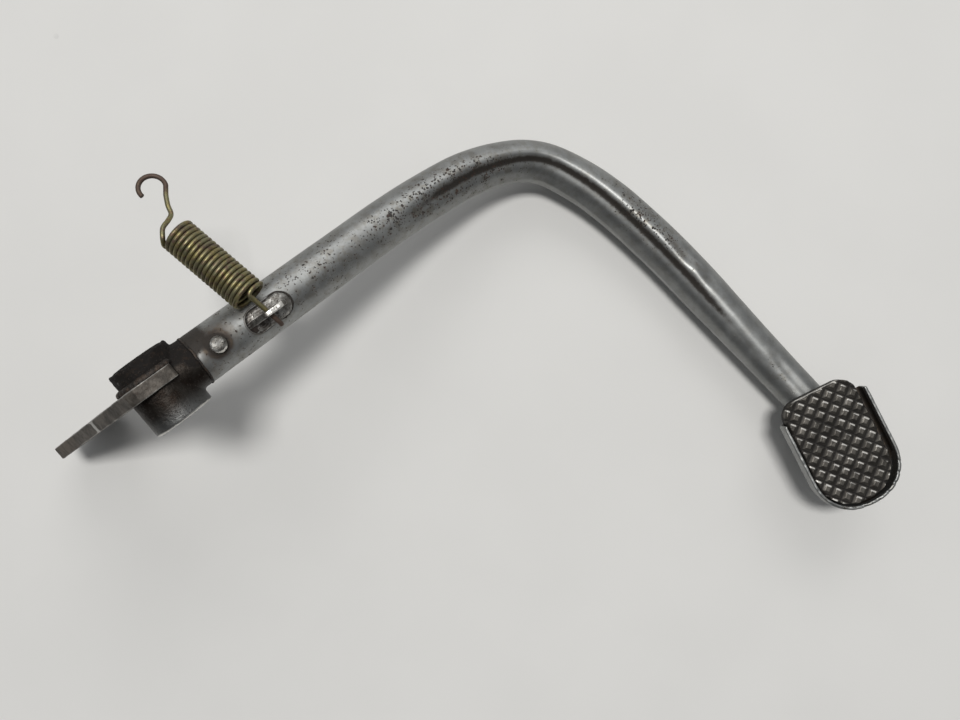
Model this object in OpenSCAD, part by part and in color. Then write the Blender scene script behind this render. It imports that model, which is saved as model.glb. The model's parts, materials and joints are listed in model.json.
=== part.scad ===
// Foot brake pedal for a small motorcycle: a bent steel tube riveted to a pivot hub,
// with a brake rod lever, a treaded foot pad and a return spring on a welded lug.
// Each module draws in the pedal's own frame: the pivot bore's centre is the origin, Y runs
// along the bore, X along the first leg of the arm and Z up from it. lie_down() then turns the
// pedal to the way it lies on a flat surface. Sizes are in millimetres and degrees.

/* [Arm tube] */
// Outside diameter of the tube
tube_od = 19; // [17:0.5:22]
// Wall of the tube
tube_wall = 1.8; // [1.4:0.1:2.2]
// From the pivot axis to the open end of the tube
tube_start = 14.5; // [13.5:0.5:16]
// From the pivot axis to the start of the bend
leg_straight = 94; // [80:1:120]
// Straight length after the bend, as far as the tube's end under the pad
pad_leg_straight = 101; // [80:1:125]
// Size of the bend's radii, as a factor on the radii listed below
bend_size = 1; // [0.85:0.05:1.25]
// Tilt of the second leg out of the bore's plane
bend_tilt = 15; // [5:1:20]
// Depth of the crease that the press leaves along the bend
crease_depth = 1.7; // [0:0.1:2]
// How far the bend is squeezed from side to side
bend_squeeze = 1.1; // [0:0.1:1.5]
// Half width of the swaged end under the pad
end_half_w = 8.4; // [7.5:0.1:9]
// Half height of the swaged end under the pad
end_half_h = 7; // [6:0.1:8]

/* [Pivot hub] */
// Diameter of the pivot bore
bore_d = 16; // [14:0.5:17]
// Wall of the hub's barrel
barrel_wall = 3; // [2.5:0.25:4]
// Length of the barrel
barrel_len = 25.6; // [24:0.2:36]
// From the arm's middle to the barrel's middle, along the bore
barrel_y = -0.7; // [-2:0.1:2]
// Length of the spigot inside the tube
spigot_len = 19; // [16:1:24]

/* [Rivet] */
// From the pivot axis to the rivet
rivet_x = 22.6; // [21:0.2:25]
// Shank diameter
rivet_d = 4.2; // [3.5:0.1:5]
// Head diameter
rivet_head_d = 6.2; // [5.5:0.1:7]
// Head height above the tube
rivet_head_h = 2; // [1.5:0.1:2.5]

/* [Brake rod lever] */
// Thickness of the lever plate
lever_t = 5.3; // [4:0.1:6]
// Offset of the plate's middle from the middle of the barrel
lever_y = 2; // [0:0.5:4]
// Rod hole, back from the pivot axis
rod_back = 27; // [22:1:32]
// Rod hole, down from the pivot axis
rod_down = 78.4; // [70:0.2:90]
// Diameter of the rod hole
rod_hole_d = 8.2; // [6:0.2:10]
// Radius of the lever's round end
lever_end_r = 16; // [13:0.5:17]

/* [Spring lug] */
// From the pivot axis to the hook hole
lug_x = 41.4; // [39:0.2:48]
// Sheet thickness of the lug
lug_t = 2; // [1.5:0.1:2.5]
// Height of the hook hole above the tube
lug_hole_h = 7.3; // [6.8:0.1:8.5]
// Diameter of the hook hole
lug_hole_d = 3.8; // [3.2:0.1:4.2]
// Length of the foot along the tube
lug_len = 18; // [16:0.5:22]
// Width of the foot across the tube
lug_w = 9; // [8:0.5:11]

/* [Return spring] */
// Wire diameter
wire_d = 1.7; // [1.6:0.05:2]
// Outside diameter of the coil
coil_od = 13.0; // [11.5:0.1:14]
// Turns of the coil
coil_turns = 18; // [14:1:22]
// Gap between turns at rest
turn_gap = 0.05; // [0.03:0.01:0.1]
// From the hook hole to the first turn
spring_leg = 9; // [8.5:0.5:11]
// Sideways lean of the coil towards the hub
spring_lean = 8.5; // [2:0.5:10]
// Radius of the open frame hook, to the wire's middle
frame_hook_r = 4.5; // [4:0.1:6]

/* [Foot pad] */
// Width of the tray
tray_w = 38; // [34:0.5:44]
// Length of the tray
tray_len = 44.5; // [40:0.5:52]
// Thickness of the tray's floor and rim
tray_t = 1.5; // [1.2:0.1:2]
// Height of the tray's rim, floor included
tray_h = 6.8; // [6:0.1:8]
// Width of the tread plate
tread_w = 32; // [29:0.2:33.8]
// Length of the tread plate
tread_len = 49; // [44:0.5:52]
// Thickness of the tread plate, pyramids included
tread_t = 4.7; // [4:0.1:5.5]
// Distance between rows of pyramids
tread_pitch = 4.45; // [3.4:0.05:5]
// Depth of the grooves between pyramids
tread_groove = 0.8; // [0.6:0.1:1.2]
// From the end of the bend to the pad's centre
pad_reach = 89; // [70:1:110]
// Sideways place of the pad on the tube
pad_side = -4.8; // [-6:0.2:0]
// Roll of the pad about the tube
pad_roll = -21.5; // [-25:0.5:-10]
// Turn of the pad towards the rider
pad_yaw = -14.5; // [-25:0.5:0]

/* [Hidden] */
$fn = 64;
EPS = 0.01;

// How the pedal lies: roll about the first leg, pitch of that leg nose down, and its heading
lie_roll = 13;
lie_pitch = 21.5;
lie_yaw = 40.8;

// Clearances between pressed pieces, between welded pieces and round the rivet
press_gap = 0.05;
seat_gap = 0.04;
rivet_gap = 0.05;
// Between the resting coil and the tube, and between the coil's ends and its hooks
coil_rest_gap = 0.2;
wire_gap = 0.12;

tube_r = tube_od / 2;
tube_ir = tube_r - tube_wall;
barrel_r = bore_d / 2 + barrel_wall;

// Radius of the middle line and angle turned, for each stretch of the bend in turn
BENDS = [[390, 6], [85, 20], [31, 37], [100, 18], [330, 7.5]];

// ---- Middle line of the arm, in the bend's plane: [along X, outwards, heading] ----

function arc_len(b) = b[0] * bend_size * b[1] * PI / 180;

// Each stretch as [length, degrees turned per millimetre]
SEGS = concat([[leg_straight - tube_start, 0]],
              [for (b = BENDS) [arc_len(b), b[1] / arc_len(b)]],
              [[pad_leg_straight, 0]]);

function sum_len(n, i = 0) = i >= n ? 0 : SEGS[i][0] + sum_len(n, i + 1);
arm_len = sum_len(len(SEGS));
bend_start = sum_len(1);
bend_tight = sum_len(3);
bend_end = sum_len(len(SEGS) - 1);
pad_station = bend_end + pad_reach;

function run_on(p, s, rate) =
    abs(rate) < 1e-9
    ? [p[0] + s * cos(p[2]), p[1] + s * sin(p[2]), p[2]]
    : let (a = p[2] + rate * s, r = 180 / (PI * rate))
      [p[0] + r * (sin(a) - sin(p[2])), p[1] - r * (cos(a) - cos(p[2])), a];

function arm_at(s, i = 0, p = [tube_start, 0, 0]) =
    i == len(SEGS) - 1 || s <= SEGS[i][0]
    ? run_on(p, s, SEGS[i][1])
    : arm_at(s - SEGS[i][0], i + 1, run_on(p, SEGS[i][0], SEGS[i][1]));

// ---- Section of the arm ----

function smooth(x) = let (t = min(1, max(0, x))) t * t * (3 - 2 * t);
function bump(x, width) = exp(-(x / width) * (x / width));

// How much of the squeeze and of the swaged end a station has
function squeeze_at(s) = bump(s - bend_tight - 8, 26);
function swage_at(s) = smooth((s - bend_end + 4) / 68);

// Crease: how deep it is at a station, and its place round the tube from the top inwards
function crease_at(s) = smooth((s - bend_start + 6) / 50) * (1 - 0.75 * swage_at(s));
function crease_angle(s) =
    44 - 16 * smooth((s - bend_start) / 32) + 12 * smooth((s - bend_tight - 5) / 85)
       - 7 * smooth((s - bend_end) / 35) - 18 * smooth((s - bend_end - 39) / 14);

// The crease is steep towards the top, and a flatter ledge leads from it to the inner edge
function crease_cut(s, turn) =
    let (off = turn - crease_angle(s))
    crease_depth * crease_at(s) * (0.7 * bump(off - 1, 13) + 0.4 * bump(off - 20, 19));

// A point of the wall: turn counts from the top towards the inside of the bend
function section_point(s, turn, inset) =
    let (w = (tube_r - bend_squeeze * squeeze_at(s)) * (1 - swage_at(s)) + end_half_w * swage_at(s),
         h = tube_r * (1 - swage_at(s)) + end_half_h * swage_at(s),
         cut = crease_cut(s, turn) + inset,
         twist = -pad_roll * swage_at(s),
         u = (w - cut) * sin(turn),
         v = (h - cut) * cos(turn))
    [u * cos(twist) + v * sin(twist), v * cos(twist) - u * sin(twist)];

// The same point in the arm's plane frame: X, inwards of the pad leg, up
function wall_point(s, turn, inset) =
    let (p = arm_at(s), q = section_point(s, turn, inset))
    [p[0] - q[0] * sin(p[2]), -p[1] - q[0] * cos(p[2]), q[1]];

SIDES = 28;
ring_step = 4.2;
straight_rings = [0, bend_start * 0.5];
bend_rings = ceil((bend_end - bend_start) / ring_step);
end_rings = ceil((arm_len - bend_end) / 6);
STATIONS = concat(straight_rings,
                  [for (i = [0:bend_rings - 1]) bend_start + i * (bend_end - bend_start) / bend_rings],
                  [for (i = [0:end_rings]) bend_end + i * (arm_len - bend_end) / end_rings]);

// Two skins joined at both ends: a closed tube with open ends
module swept_wall(stations, wall) {
    rings = len(stations);
    outer = [for (s = stations) for (k = [0:SIDES - 1]) wall_point(s, k * 360 / SIDES, 0)];
    inner = [for (s = stations) for (k = [0:SIDES - 1]) wall_point(s, k * 360 / SIDES, wall)];
    shift = rings * SIDES;
    last = (rings - 1) * SIDES;
    faces = concat(
        [for (i = [0:rings - 2]) for (k = [0:SIDES - 1]) for (f = quad(i * SIDES, k, 0, false)) f],
        [for (i = [0:rings - 2]) for (k = [0:SIDES - 1]) for (f = quad(i * SIDES, k, shift, true)) f],
        [for (k = [0:SIDES - 1]) for (f = rim(k, 0, shift, false)) f],
        [for (k = [0:SIDES - 1]) for (f = rim(k, last, shift, true)) f]);
    polyhedron(concat(outer, inner), faces);
}

function next(k) = (k + 1) % SIDES;
function flip(f, back) = back ? [f[2], f[1], f[0]] : f;
function quad(base, k, shift, back) =
    let (a = shift + base + k, b = shift + base + next(k), c = b + SIDES, d = a + SIDES)
    [flip([a, b, c], back), flip([a, c, d], back)];
function rim(k, base, shift, back) =
    let (a = base + k, b = base + next(k), c = b + shift, d = a + shift)
    [flip([a, d, c], back), flip([a, c, b], back)];

// ---- Frames ----

module lie_down() {
    rotate([lie_roll, lie_pitch, lie_yaw]) children();
}

module arm_plane() {
    rotate([-bend_tilt, 0, 0]) children();
}

// Pad frame: origin on the tube's middle line under the pad, Z up out of the tread, Y to the heel
module pad_frame() {
    p = arm_at(pad_station);
    arm_plane() translate([p[0], -p[1], 0])
        rotate([2, pad_roll, 0]) rotate([0, 0, pad_yaw]) translate([pad_side, 0, end_half_h]) children();
}

// Spring frame: origin in the middle of the hook hole, Z along the coil, away from the lug
lug_y = -1.4;
// The coil droops until its first turn rests on the tube
function coil_clear(droop) =
    let (hook_z = tube_r + lug_hole_h,
         off_axis = lug_y * sin(droop) + hook_z * cos(droop) - coil_od / 2,
         along = spring_leg + lug_y * cos(droop) - hook_z * sin(droop))
    norm([off_axis, max(0, along)]);
function rest_droop(droop) =
    coil_clear(droop) >= tube_r + coil_rest_gap || droop < 0 ? droop : rest_droop(droop - 0.1);
spring_droop = rest_droop(40);

module spring_frame() {
    translate([lug_x, lug_y, tube_r + lug_hole_h])
        rotate([-90 - spring_droop, 0, spring_lean]) children();
}

// ---- Swept wire ----

function unit(v) = v / norm(v);
function tangent(pts, i) = unit(pts[min(len(pts) - 1, i + 1)] - pts[max(0, i - 1)]);

// A smooth run through the listed points, in steps between each pair
function spline_at(p, i, t) =
    let (a = p[max(0, i - 1)], b = p[i], c = p[i + 1], d = p[min(len(p) - 1, i + 2)])
    0.5 * (2 * b + (c - a) * t + (2 * a - 5 * b + 4 * c - d) * t * t
           + (3 * b - a - 3 * c + d) * t * t * t);
function smooth_run(p, steps) =
    concat([for (i = [0:len(p) - 2]) for (j = [0:steps - 1]) spline_at(p, i, j / steps)],
           [p[len(p) - 1]]);

module wire(pts, ref, sides = 8) {
    rings = len(pts);
    skin = [for (i = [0:rings - 1])
        let (t = tangent(pts, i), n = unit(cross(ref, t)), b = cross(t, n))
        for (k = [0:sides - 1])
            pts[i] + wire_d / 2 * (n * cos(k * 360 / sides) + b * sin(k * 360 / sides))];
    side_faces = [for (i = [0:rings - 2]) for (k = [0:sides - 1])
        let (a = i * sides + k, b = i * sides + (k + 1) % sides)
        each [[a, b + sides, b], [a, a + sides, b + sides]]];
    caps = [[for (k = [0:sides - 1]) k], [for (k = [sides - 1:-1:0]) (rings - 1) * sides + k]];
    polyhedron(skin, concat(side_faces, caps));
}

coil_r = (coil_od - wire_d) / 2;
coil_pitch = wire_d + turn_gap;
turned = coil_turns + 0.5;
coil_end = spring_leg + turned * coil_pitch;
COIL_STEPS = 14;

function coil_point(turn) =
    [coil_r * cos(360 * turn), coil_r * sin(360 * turn), spring_leg + coil_pitch * turn];

// ---- Outlines ----

function arc_points(c, r, from, to, steps) =
    [for (i = [0:steps]) let (a = from + (to - from) * i / steps) [c[0] + r * cos(a), c[1] + r * sin(a)]];

// Straight heel, straight sides and a round toe
function pad_outline(half_w, heel, toe, corner) =
    concat(arc_points([half_w - corner, heel - corner], corner, 0, 90, 4),
           arc_points([-half_w + corner, heel - corner], corner, 90, 180, 4),
           [for (i = [0:24]) let (a = 180 + 7.5 * i)
               [half_w * full(cos(a)), toe + half_w + half_w * full(sin(a))]]);

// Squares a circle's quarter off a little, as the toe is
function full(x) = sign(x) * pow(abs(x), 0.88);

// ---- Sub-parts ----

module pivot_hub() color("dimgray") lie_down() difference() {
    union() {
        translate([0, barrel_y, 0]) rotate([90, 0, 0])
            cylinder(r = barrel_r, h = barrel_len, center = true);
        rotate([0, 90, 0]) cylinder(r = tube_r, h = tube_start - seat_gap);
        rotate([0, 90, 0]) cylinder(r = tube_ir - press_gap, h = tube_start + spigot_len);
    }
    rotate([90, 0, 0]) cylinder(d = bore_d, h = 2 * barrel_len, center = true);
    translate([rivet_x, 0, 0]) cylinder(d = rivet_d + 2 * rivet_gap, h = 2 * tube_od, center = true);
}

module arm_tube() color("silver") lie_down() difference() {
    arm_plane() swept_wall(STATIONS, tube_wall);
    translate([rivet_x, 0, 0]) cylinder(d = rivet_d + 2 * rivet_gap, h = 2 * tube_od, center = true);
}

// Thin run of weld round the joint of hub and tube
seam_h = 0.5;
seam_half = 0.9;
module hub_seam_weld() color("dimgray") lie_down() rotate([0, 90, 0]) rotate_extrude()
    translate([tube_r + seat_gap, tube_start])
        polygon([[0, -seam_half], [seam_h, -seam_half / 4], [seam_h, seam_half / 4], [0, seam_half]]);

module hub_rivet() color("gainsboro") lie_down() translate([rivet_x, 0, 0]) {
    cylinder(d = rivet_d, h = tube_od + rivet_head_h, center = true);
    for (side = [0, 1]) mirror([0, 0, side]) translate([0, 0, tube_r + seat_gap]) {
        cylinder(d = rivet_head_d, h = rivet_head_h * 0.65);
        cylinder(d1 = rivet_head_d, d2 = rivet_head_d * 0.72, h = rivet_head_h);
    }
}

// Lever outline in [X, Z]: a nose on top of the barrel, a shoulder, and a round end on the rod hole
nose_x = 6.4;
lever_top = barrel_r + 2;
shoulder = [-24.5, -26];
lever_belly = [9, -14];
function lever_outline() =
    concat([[nose_x, 0], [nose_x, lever_top - 1], [nose_x - 1, lever_top]],
           [[-8, lever_top], [-11, lever_top - 2.5], shoulder],
           arc_points([-rod_back, -rod_down], lever_end_r, 168, 376, 20),
           [lever_belly, [10, -2]]);

module rod_lever() color("slategray") lie_down() difference() {
    translate([0, lever_y + lever_t / 2, 0]) rotate([90, 0, 0]) linear_extrude(lever_t)
        polygon(lever_outline());
    rotate([90, 0, 0]) cylinder(r = barrel_r + seat_gap, h = 3 * barrel_len, center = true);
    translate([-rod_back, lever_y, -rod_down]) rotate([90, 0, 0])
        cylinder(d = rod_hole_d, h = 3 * lever_t, center = true);
    rotate([0, 90, 0]) cylinder(r = tube_r + seat_gap, h = 2 * tube_start);
}

// Fillet weld between lever and barrel, on the outer face only
lever_weld_w = 2;
lever_weld_h = 2.6;
module lever_weld() color("black") lie_down() difference() {
    rotate([90, 0, 0]) translate([0, 0, -lever_y - lever_t / 2 - seat_gap]) rotate([0, 0, 50])
        rotate_extrude(angle = 225) translate([barrel_r + seat_gap, 0])
            polygon([[0, 0], [lever_weld_w, 0], [0, -lever_weld_h]]);
    rotate([0, 90, 0]) cylinder(r = tube_r + seat_gap, h = 2 * tube_start);
}

// Lug: a sheet foot curved to the tube, and an upright fin with the hook hole
lug_mid = lug_x + 1.6;
fin_len = 12;
foot_t = 1.6;
lug_weld_w = 1.2;
function stadium(length, width) =
    concat(arc_points([length / 2 - width / 2, 0], width / 2, -90, 90, 10),
           arc_points([width / 2 - length / 2, 0], width / 2, 90, 270, 10));

module tube_shell(inner, outer) {
    difference() {
        rotate([0, 90, 0]) cylinder(r = outer, h = leg_straight);
        rotate([0, 90, 0]) cylinder(r = inner, h = 3 * leg_straight, center = true);
    }
}

module spring_lug() color("darkgray") lie_down() difference() {
    union() {
        intersection() {
            tube_shell(tube_r + seat_gap, tube_r + foot_t);
            translate([lug_mid, lug_y, 0]) linear_extrude(2 * tube_od) polygon(stadium(lug_len, lug_w));
        }
        translate([lug_x, lug_y + lug_t / 2, tube_r]) rotate([90, 0, 0]) linear_extrude(lug_t)
            polygon(concat([[-fin_len / 2 - 0.6, 1.0], [fin_len / 2 + 2, 1.0]],
                           arc_points([3.2, lug_hole_h], lug_hole_d / 2 + 2, 10, 90, 5),
                           arc_points([0, lug_hole_h], lug_hole_d / 2 + 2, 90, 175, 5)));
    }
    translate([lug_x, lug_y, tube_r + lug_hole_h]) rotate([90, 0, 0])
        cylinder(d = lug_hole_d, h = 3 * lug_w, center = true);
}

module lug_weld() color("dimgray") lie_down() difference() {
    intersection() {
        tube_shell(tube_r + seat_gap, tube_r + foot_t / 2);
        translate([lug_mid, lug_y, 0]) linear_extrude(2 * tube_od)
            polygon(stadium(lug_len + 2 * lug_weld_w, lug_w + 2 * lug_weld_w));
    }
    translate([lug_mid, lug_y, 0]) linear_extrude(2 * tube_od)
        polygon(stadium(lug_len + 2 * seat_gap, lug_w + 2 * seat_gap));
}

// Foot pad: a pressed tray with a rim open at the heel, and a tread plate laid in it
tray_toe = -28.9;
tray_side = 0.7;
tread_toe = -26.4;
tread_side = -0.2;
tread_corner = 7;
point_flat = 1.85;
tread_turn = 42;
tray_half = tray_w / 2;
tread_half = tread_w / 2;
groove_half = (tread_pitch - point_flat) / 2;

module pad_tray() color("lightgray") lie_down() pad_frame() difference() {
    translate([tray_side, 0, seat_gap]) linear_extrude(tray_h)
        polygon(pad_outline(tray_half, tray_toe + tray_len, tray_toe, 1));
    translate([tray_side, 0, tray_t]) linear_extrude(2 * tray_h)
        polygon(pad_outline(tray_half - tray_t, tray_toe + tray_len + 20, tray_toe + tray_t, 1));
}

module tread_plate() color("gray") lie_down() pad_frame() difference() {
    translate([tread_side, 0, tray_t + seat_gap]) linear_extrude(tread_t)
        polygon(pad_outline(tread_half, tread_toe + tread_len, tread_toe, tread_corner));
    for (turn = [tread_turn, tread_turn + 90], i = [-9:9])
        rotate([0, 0, turn]) translate([0, i * tread_pitch, tray_t + seat_gap + tread_t])
            rotate([90, 0, 90]) linear_extrude(3 * tray_len, center = true)
                polygon([[-groove_half, EPS], [0, -tread_groove], [groove_half, EPS]]);
}

// Welds under the tray, either side of the tube, and tack welds between tread and tray
pad_weld_x = 6;
pad_weld_len = 22;
tack_y = 8;
tack_len = 5;
tack_w = 0.5;
tack_h = 2;
module pad_weld() color("dimgray") lie_down() pad_frame()
    rotate([0, 0, -pad_yaw]) for (side = [-1, 1])
        translate([side * pad_weld_x - pad_side, 0, 0]) rotate([90, 0, 0])
            linear_extrude(pad_weld_len, center = true)
                polygon([[0, 0], [side * 4.4, 0], [side * 2.6, -3.4]]);

module tread_weld() color("dimgray") lie_down() pad_frame()
    for (side = [-1, 1], y = [-tack_y, tack_y])
        translate([tread_side + side * (tread_half + seat_gap), y, tray_t + seat_gap])
            rotate([90, 0, 0]) linear_extrude(tack_len, center = true)
                polygon([[0, 0], [side * tack_w, 0], [0, tack_h]]);

// Return spring: one wire in three pieces, so that the coil can stretch between its hooks
module spring_coil() color("darkkhaki") lie_down() spring_frame()
    wire([for (i = [0:turned * COIL_STEPS]) coil_point(i / COIL_STEPS)], [0, 0, 1], 6);

module spring_lug_hook() color("darkkhaki") lie_down() spring_frame()
    wire(smooth_run([[coil_r, -wire_gap, spring_leg], [coil_r * 0.985, -0.18 * coil_r, spring_leg - 0.1],
                     [coil_r * 0.84, -0.52 * coil_r, spring_leg - 0.4],
                     [coil_r * 0.5, -0.78 * coil_r, spring_leg - 0.5],
                     [coil_r * 0.12, -0.86 * coil_r, spring_leg - 0.6],
                     [-coil_r * 0.14, -0.76 * coil_r, spring_leg - 1.3],
                     [-coil_r * 0.11, -0.55 * coil_r, spring_leg * 0.68],
                     [-coil_r * 0.05, -0.27 * coil_r, spring_leg * 0.34], [0, 0, 0],
                     [coil_r * 0.05, 0.27 * coil_r, -spring_leg * 0.34],
                     [coil_r * 0.08, 0.44 * coil_r, -4.3],
                     [coil_r * 0.1, 0.66 * coil_r, -4.9]], 3), [0.75, 0.55, 0.35]);

hook_out = coil_end + 17.5;
hook_aside = 2.2;
module spring_frame_hook() color("darkkhaki") lie_down() spring_frame()
    wire(concat(smooth_run([[-coil_r, -wire_gap, coil_end],
                            [-coil_r * 0.985, -0.18 * coil_r, coil_end + 0.1],
                            [-coil_r * 0.8, -0.5 * coil_r, coil_end + 1.1],
                            [-coil_r * 0.36, -0.5 * coil_r, coil_end + 3.4],
                            [coil_r * 0.27, -0.2 * coil_r, coil_end + 4.9],
                            [coil_r * 0.72, 0, coil_end + 6.4], [coil_r, 0, coil_end + 9.4],
                            [coil_r * 1.4, 0, coil_end + 12.5]], 3),
                [for (a = [-32:17:183]) let (c = [frame_hook_r + hook_aside, hook_out])
                    [c[0] + frame_hook_r * cos(a), 0, c[1] + frame_hook_r * sin(a)]]), [0, 1, 0.05]);

pivot_hub();
arm_tube();
hub_seam_weld();
hub_rivet();
rod_lever();
lever_weld();
spring_lug();
lug_weld();
pad_tray();
pad_weld();
tread_plate();
tread_weld();
spring_coil();
spring_lug_hook();
spring_frame_hook();
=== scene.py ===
import json
import math

import bmesh
import bpy
import numpy as np
from bpy.props import FloatProperty, FloatVectorProperty, IntProperty, PointerProperty
from mathutils import Matrix, Vector, kdtree, noise


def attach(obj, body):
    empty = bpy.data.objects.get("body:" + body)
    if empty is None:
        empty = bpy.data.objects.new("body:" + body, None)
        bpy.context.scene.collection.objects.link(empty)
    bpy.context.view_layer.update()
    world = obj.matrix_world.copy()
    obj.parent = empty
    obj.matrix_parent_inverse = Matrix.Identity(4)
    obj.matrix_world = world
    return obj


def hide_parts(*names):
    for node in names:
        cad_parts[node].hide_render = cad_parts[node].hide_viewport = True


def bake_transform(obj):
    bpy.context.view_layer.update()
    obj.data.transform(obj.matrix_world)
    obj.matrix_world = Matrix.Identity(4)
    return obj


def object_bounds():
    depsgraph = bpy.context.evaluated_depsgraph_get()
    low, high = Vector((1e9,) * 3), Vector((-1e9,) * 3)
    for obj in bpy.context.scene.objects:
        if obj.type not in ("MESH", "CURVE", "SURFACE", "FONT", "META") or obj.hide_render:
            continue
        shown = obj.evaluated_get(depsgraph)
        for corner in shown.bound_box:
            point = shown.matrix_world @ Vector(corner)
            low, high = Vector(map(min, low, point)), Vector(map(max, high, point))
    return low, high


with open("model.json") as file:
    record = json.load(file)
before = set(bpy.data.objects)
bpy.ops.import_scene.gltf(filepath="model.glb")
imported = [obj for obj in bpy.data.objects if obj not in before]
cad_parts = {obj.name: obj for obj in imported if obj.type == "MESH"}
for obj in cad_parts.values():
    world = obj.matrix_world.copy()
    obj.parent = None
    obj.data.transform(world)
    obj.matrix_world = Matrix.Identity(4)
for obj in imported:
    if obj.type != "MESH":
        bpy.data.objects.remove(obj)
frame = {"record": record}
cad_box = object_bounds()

bl_info = {
    "name": "Brake Pedal",
    "version": (1, 0, 0),
    "blender": (4, 5, 0),
    "location": "3D View > Sidebar > Brake Pedal",
    "description": "Builds a worn motorcycle brake pedal with its return spring",
    "category": "Object",
}

MM = 0.001

# ---- Where the pedal lies: the bore gives Y and the arm's first leg gives X ----

mounts = {m["name"]: m for m in frame["record"]["mounts"]}
joints = {j["name"]: j for j in frame["record"]["behaviour"]["joints"]}
BORE = mounts["pivot_bore"]
ROD_HOLE = mounts["brake_rod_hole"]
Y_AXIS = Vector(BORE["axis"]).normalized()
X_AXIS = Vector(joints["spring_swing"]["axis"]).normalized()
Z_AXIS = X_AXIS.cross(Y_AXIS)
TO_ROW = np.array([list(X_AXIS), list(Y_AXIS), list(Z_AXIS)]).T
COIL_AXIS = Vector(joints["spring_stretch"]["axis"]).normalized()
HOOK_HOLE = Vector(joints["spring_swing"]["pos_m"])
FLOOR_Z = cad_box[0][2]


def to_pedal(vector):
    """A row-frame point or direction, in metres, as the pedal's own millimetres."""
    return TO_ROW.T @ np.array(list(vector)) / MM


# ---- Sizes and finishes ----


def length_of(name, description, millimetres):
    return FloatProperty(name=name, description=description, default=millimetres * MM, unit="LENGTH")


def angle_of(name, description, degrees):
    return FloatProperty(name=name, description=description, default=math.radians(degrees), unit="ROTATION")


def tint_of(name, description, rgb):
    return FloatVectorProperty(name=name, description=description, default=rgb, subtype="COLOR", size=3)


class ArmSizes(bpy.types.PropertyGroup):
    tube_od: length_of("Tube", "Outside diameter", 19)
    wall: length_of("Wall", "Wall of the tube", 1.8)
    start: length_of("Open end", "From the pivot axis", 14.5)
    first_leg: length_of("First leg", "Pivot axis to bend", 94)
    second_leg: length_of("Second leg", "Bend to end", 101)
    tilt: angle_of("Tilt", "Tilt of the bend's plane", 15)
    crease: length_of("Crease", "Depth of the pressed crease", 1.35)
    squeeze: length_of("Squeeze", "Narrowing in the bend", 1.1)
    end_half_w: length_of("End half width", "Swaged end", 8.4)
    end_half_h: length_of("End half height", "Swaged end", 7)


class HubSizes(bpy.types.PropertyGroup):
    wall: length_of("Barrel wall", "Wall round the bore", 3)
    offset: length_of("Barrel offset", "Along the bore", -0.7)
    spigot: length_of("Spigot", "Length inside the tube", 19)
    rivet_x: length_of("Rivet place", "From the pivot axis", 22.6)
    rivet_d: length_of("Rivet shank", "Diameter", 4.2)
    head_d: length_of("Rivet head", "Diameter", 6.2)
    head_h: length_of("Head height", "Above the tube", 2)
    lever_y: length_of("Lever place", "Along the bore", 2)
    lever_end_r: length_of("Lever end", "Radius", 16)


class SpringSizes(bpy.types.PropertyGroup):
    wire: length_of("Wire", "Diameter", 1.7)
    coil_od: length_of("Coil", "Outside diameter", 13)
    turns: IntProperty(name="Turns", description="Whole turns of the coil", default=18)
    gap: length_of("Gap", "Between turns", 0.05)
    leg: length_of("Leg", "Hook hole to first turn", 9)
    hook_r: length_of("Frame hook", "Radius of the open hook", 4.5)
    lug_t: length_of("Lug sheet", "Thickness of the fin", 2)
    hole_d: length_of("Hook hole", "Diameter", 3.8)
    foot_len: length_of("Lug foot", "Length", 18)
    foot_w: length_of("Lug foot width", "Across the tube", 9)


class PadSizes(bpy.types.PropertyGroup):
    width: length_of("Tray width", "Across the rim", 38)
    length: length_of("Tray length", "Heel to toe", 44.5)
    sheet: length_of("Tray sheet", "Thickness", 1.5)
    height: length_of("Rim", "Height of the rim", 6.8)
    tread_w: length_of("Tread width", "Of the tread plate", 32)
    tread_len: length_of("Tread length", "Heel to toe", 49)
    tread_t: length_of("Tread plate", "Thickness", 4.7)
    pitch: length_of("Pitch", "Between rows of points", 4.45)
    groove: length_of("Groove", "Depth", 0.8)
    reach: length_of("Reach", "Bend's end to pad", 89)
    side: length_of("Side", "Sideways place", -4.8)
    roll: angle_of("Roll", "About the tube", -21.5)
    yaw: angle_of("Turn", "Towards the rider", -14.5)


class Finishes(bpy.types.PropertyGroup):
    plating: tint_of("Plating", "Arm and tray", (0.29, 0.295, 0.29))
    # Bare steel also colours the painted highlights on the hub's barrel and the lever's ridge
    bare: tint_of("Bare steel", "Worn edges", (0.62, 0.61, 0.58))
    scorch: tint_of("Scorch", "Burnt hub and welds", (0.009, 0.0075, 0.0065))
    rust: tint_of("Rust", "Specks and stains", (0.07, 0.034, 0.02))
    lever: tint_of("Lever", "Dull plate", (0.1, 0.089, 0.077))
    zinc: tint_of("Yellow zinc", "Spring wire", (0.25, 0.215, 0.095))
    tread: tint_of("Tread", "Oily steel", (0.06, 0.056, 0.05))
    floor: tint_of("Floor", "Pale table", (0.62, 0.615, 0.6))


def sizes(context, group):
    """The lengths of one property group in millimetres; angles and counts as they are."""
    props = getattr(context.scene, group)
    out = {}
    for key, prop in props.bl_rna.properties.items():
        if key in ("rna_type", "name"):
            continue
        value = getattr(props, key)
        out[key] = value / MM if prop.unit == "LENGTH" else value
    return out


# ---- Middle line and section of the arm, in millimetres ----

# Radius in millimetres and angle in degrees of each stretch of the bend
BENDS = ((390, 6), (85, 20), (31, 37), (100, 18), (330, 7.5))


def smooth(x):
    t = np.clip(x, 0, 1)
    return t * t * (3 - 2 * t)


def bump(x, width):
    return np.exp(-(x / width) ** 2)


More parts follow.
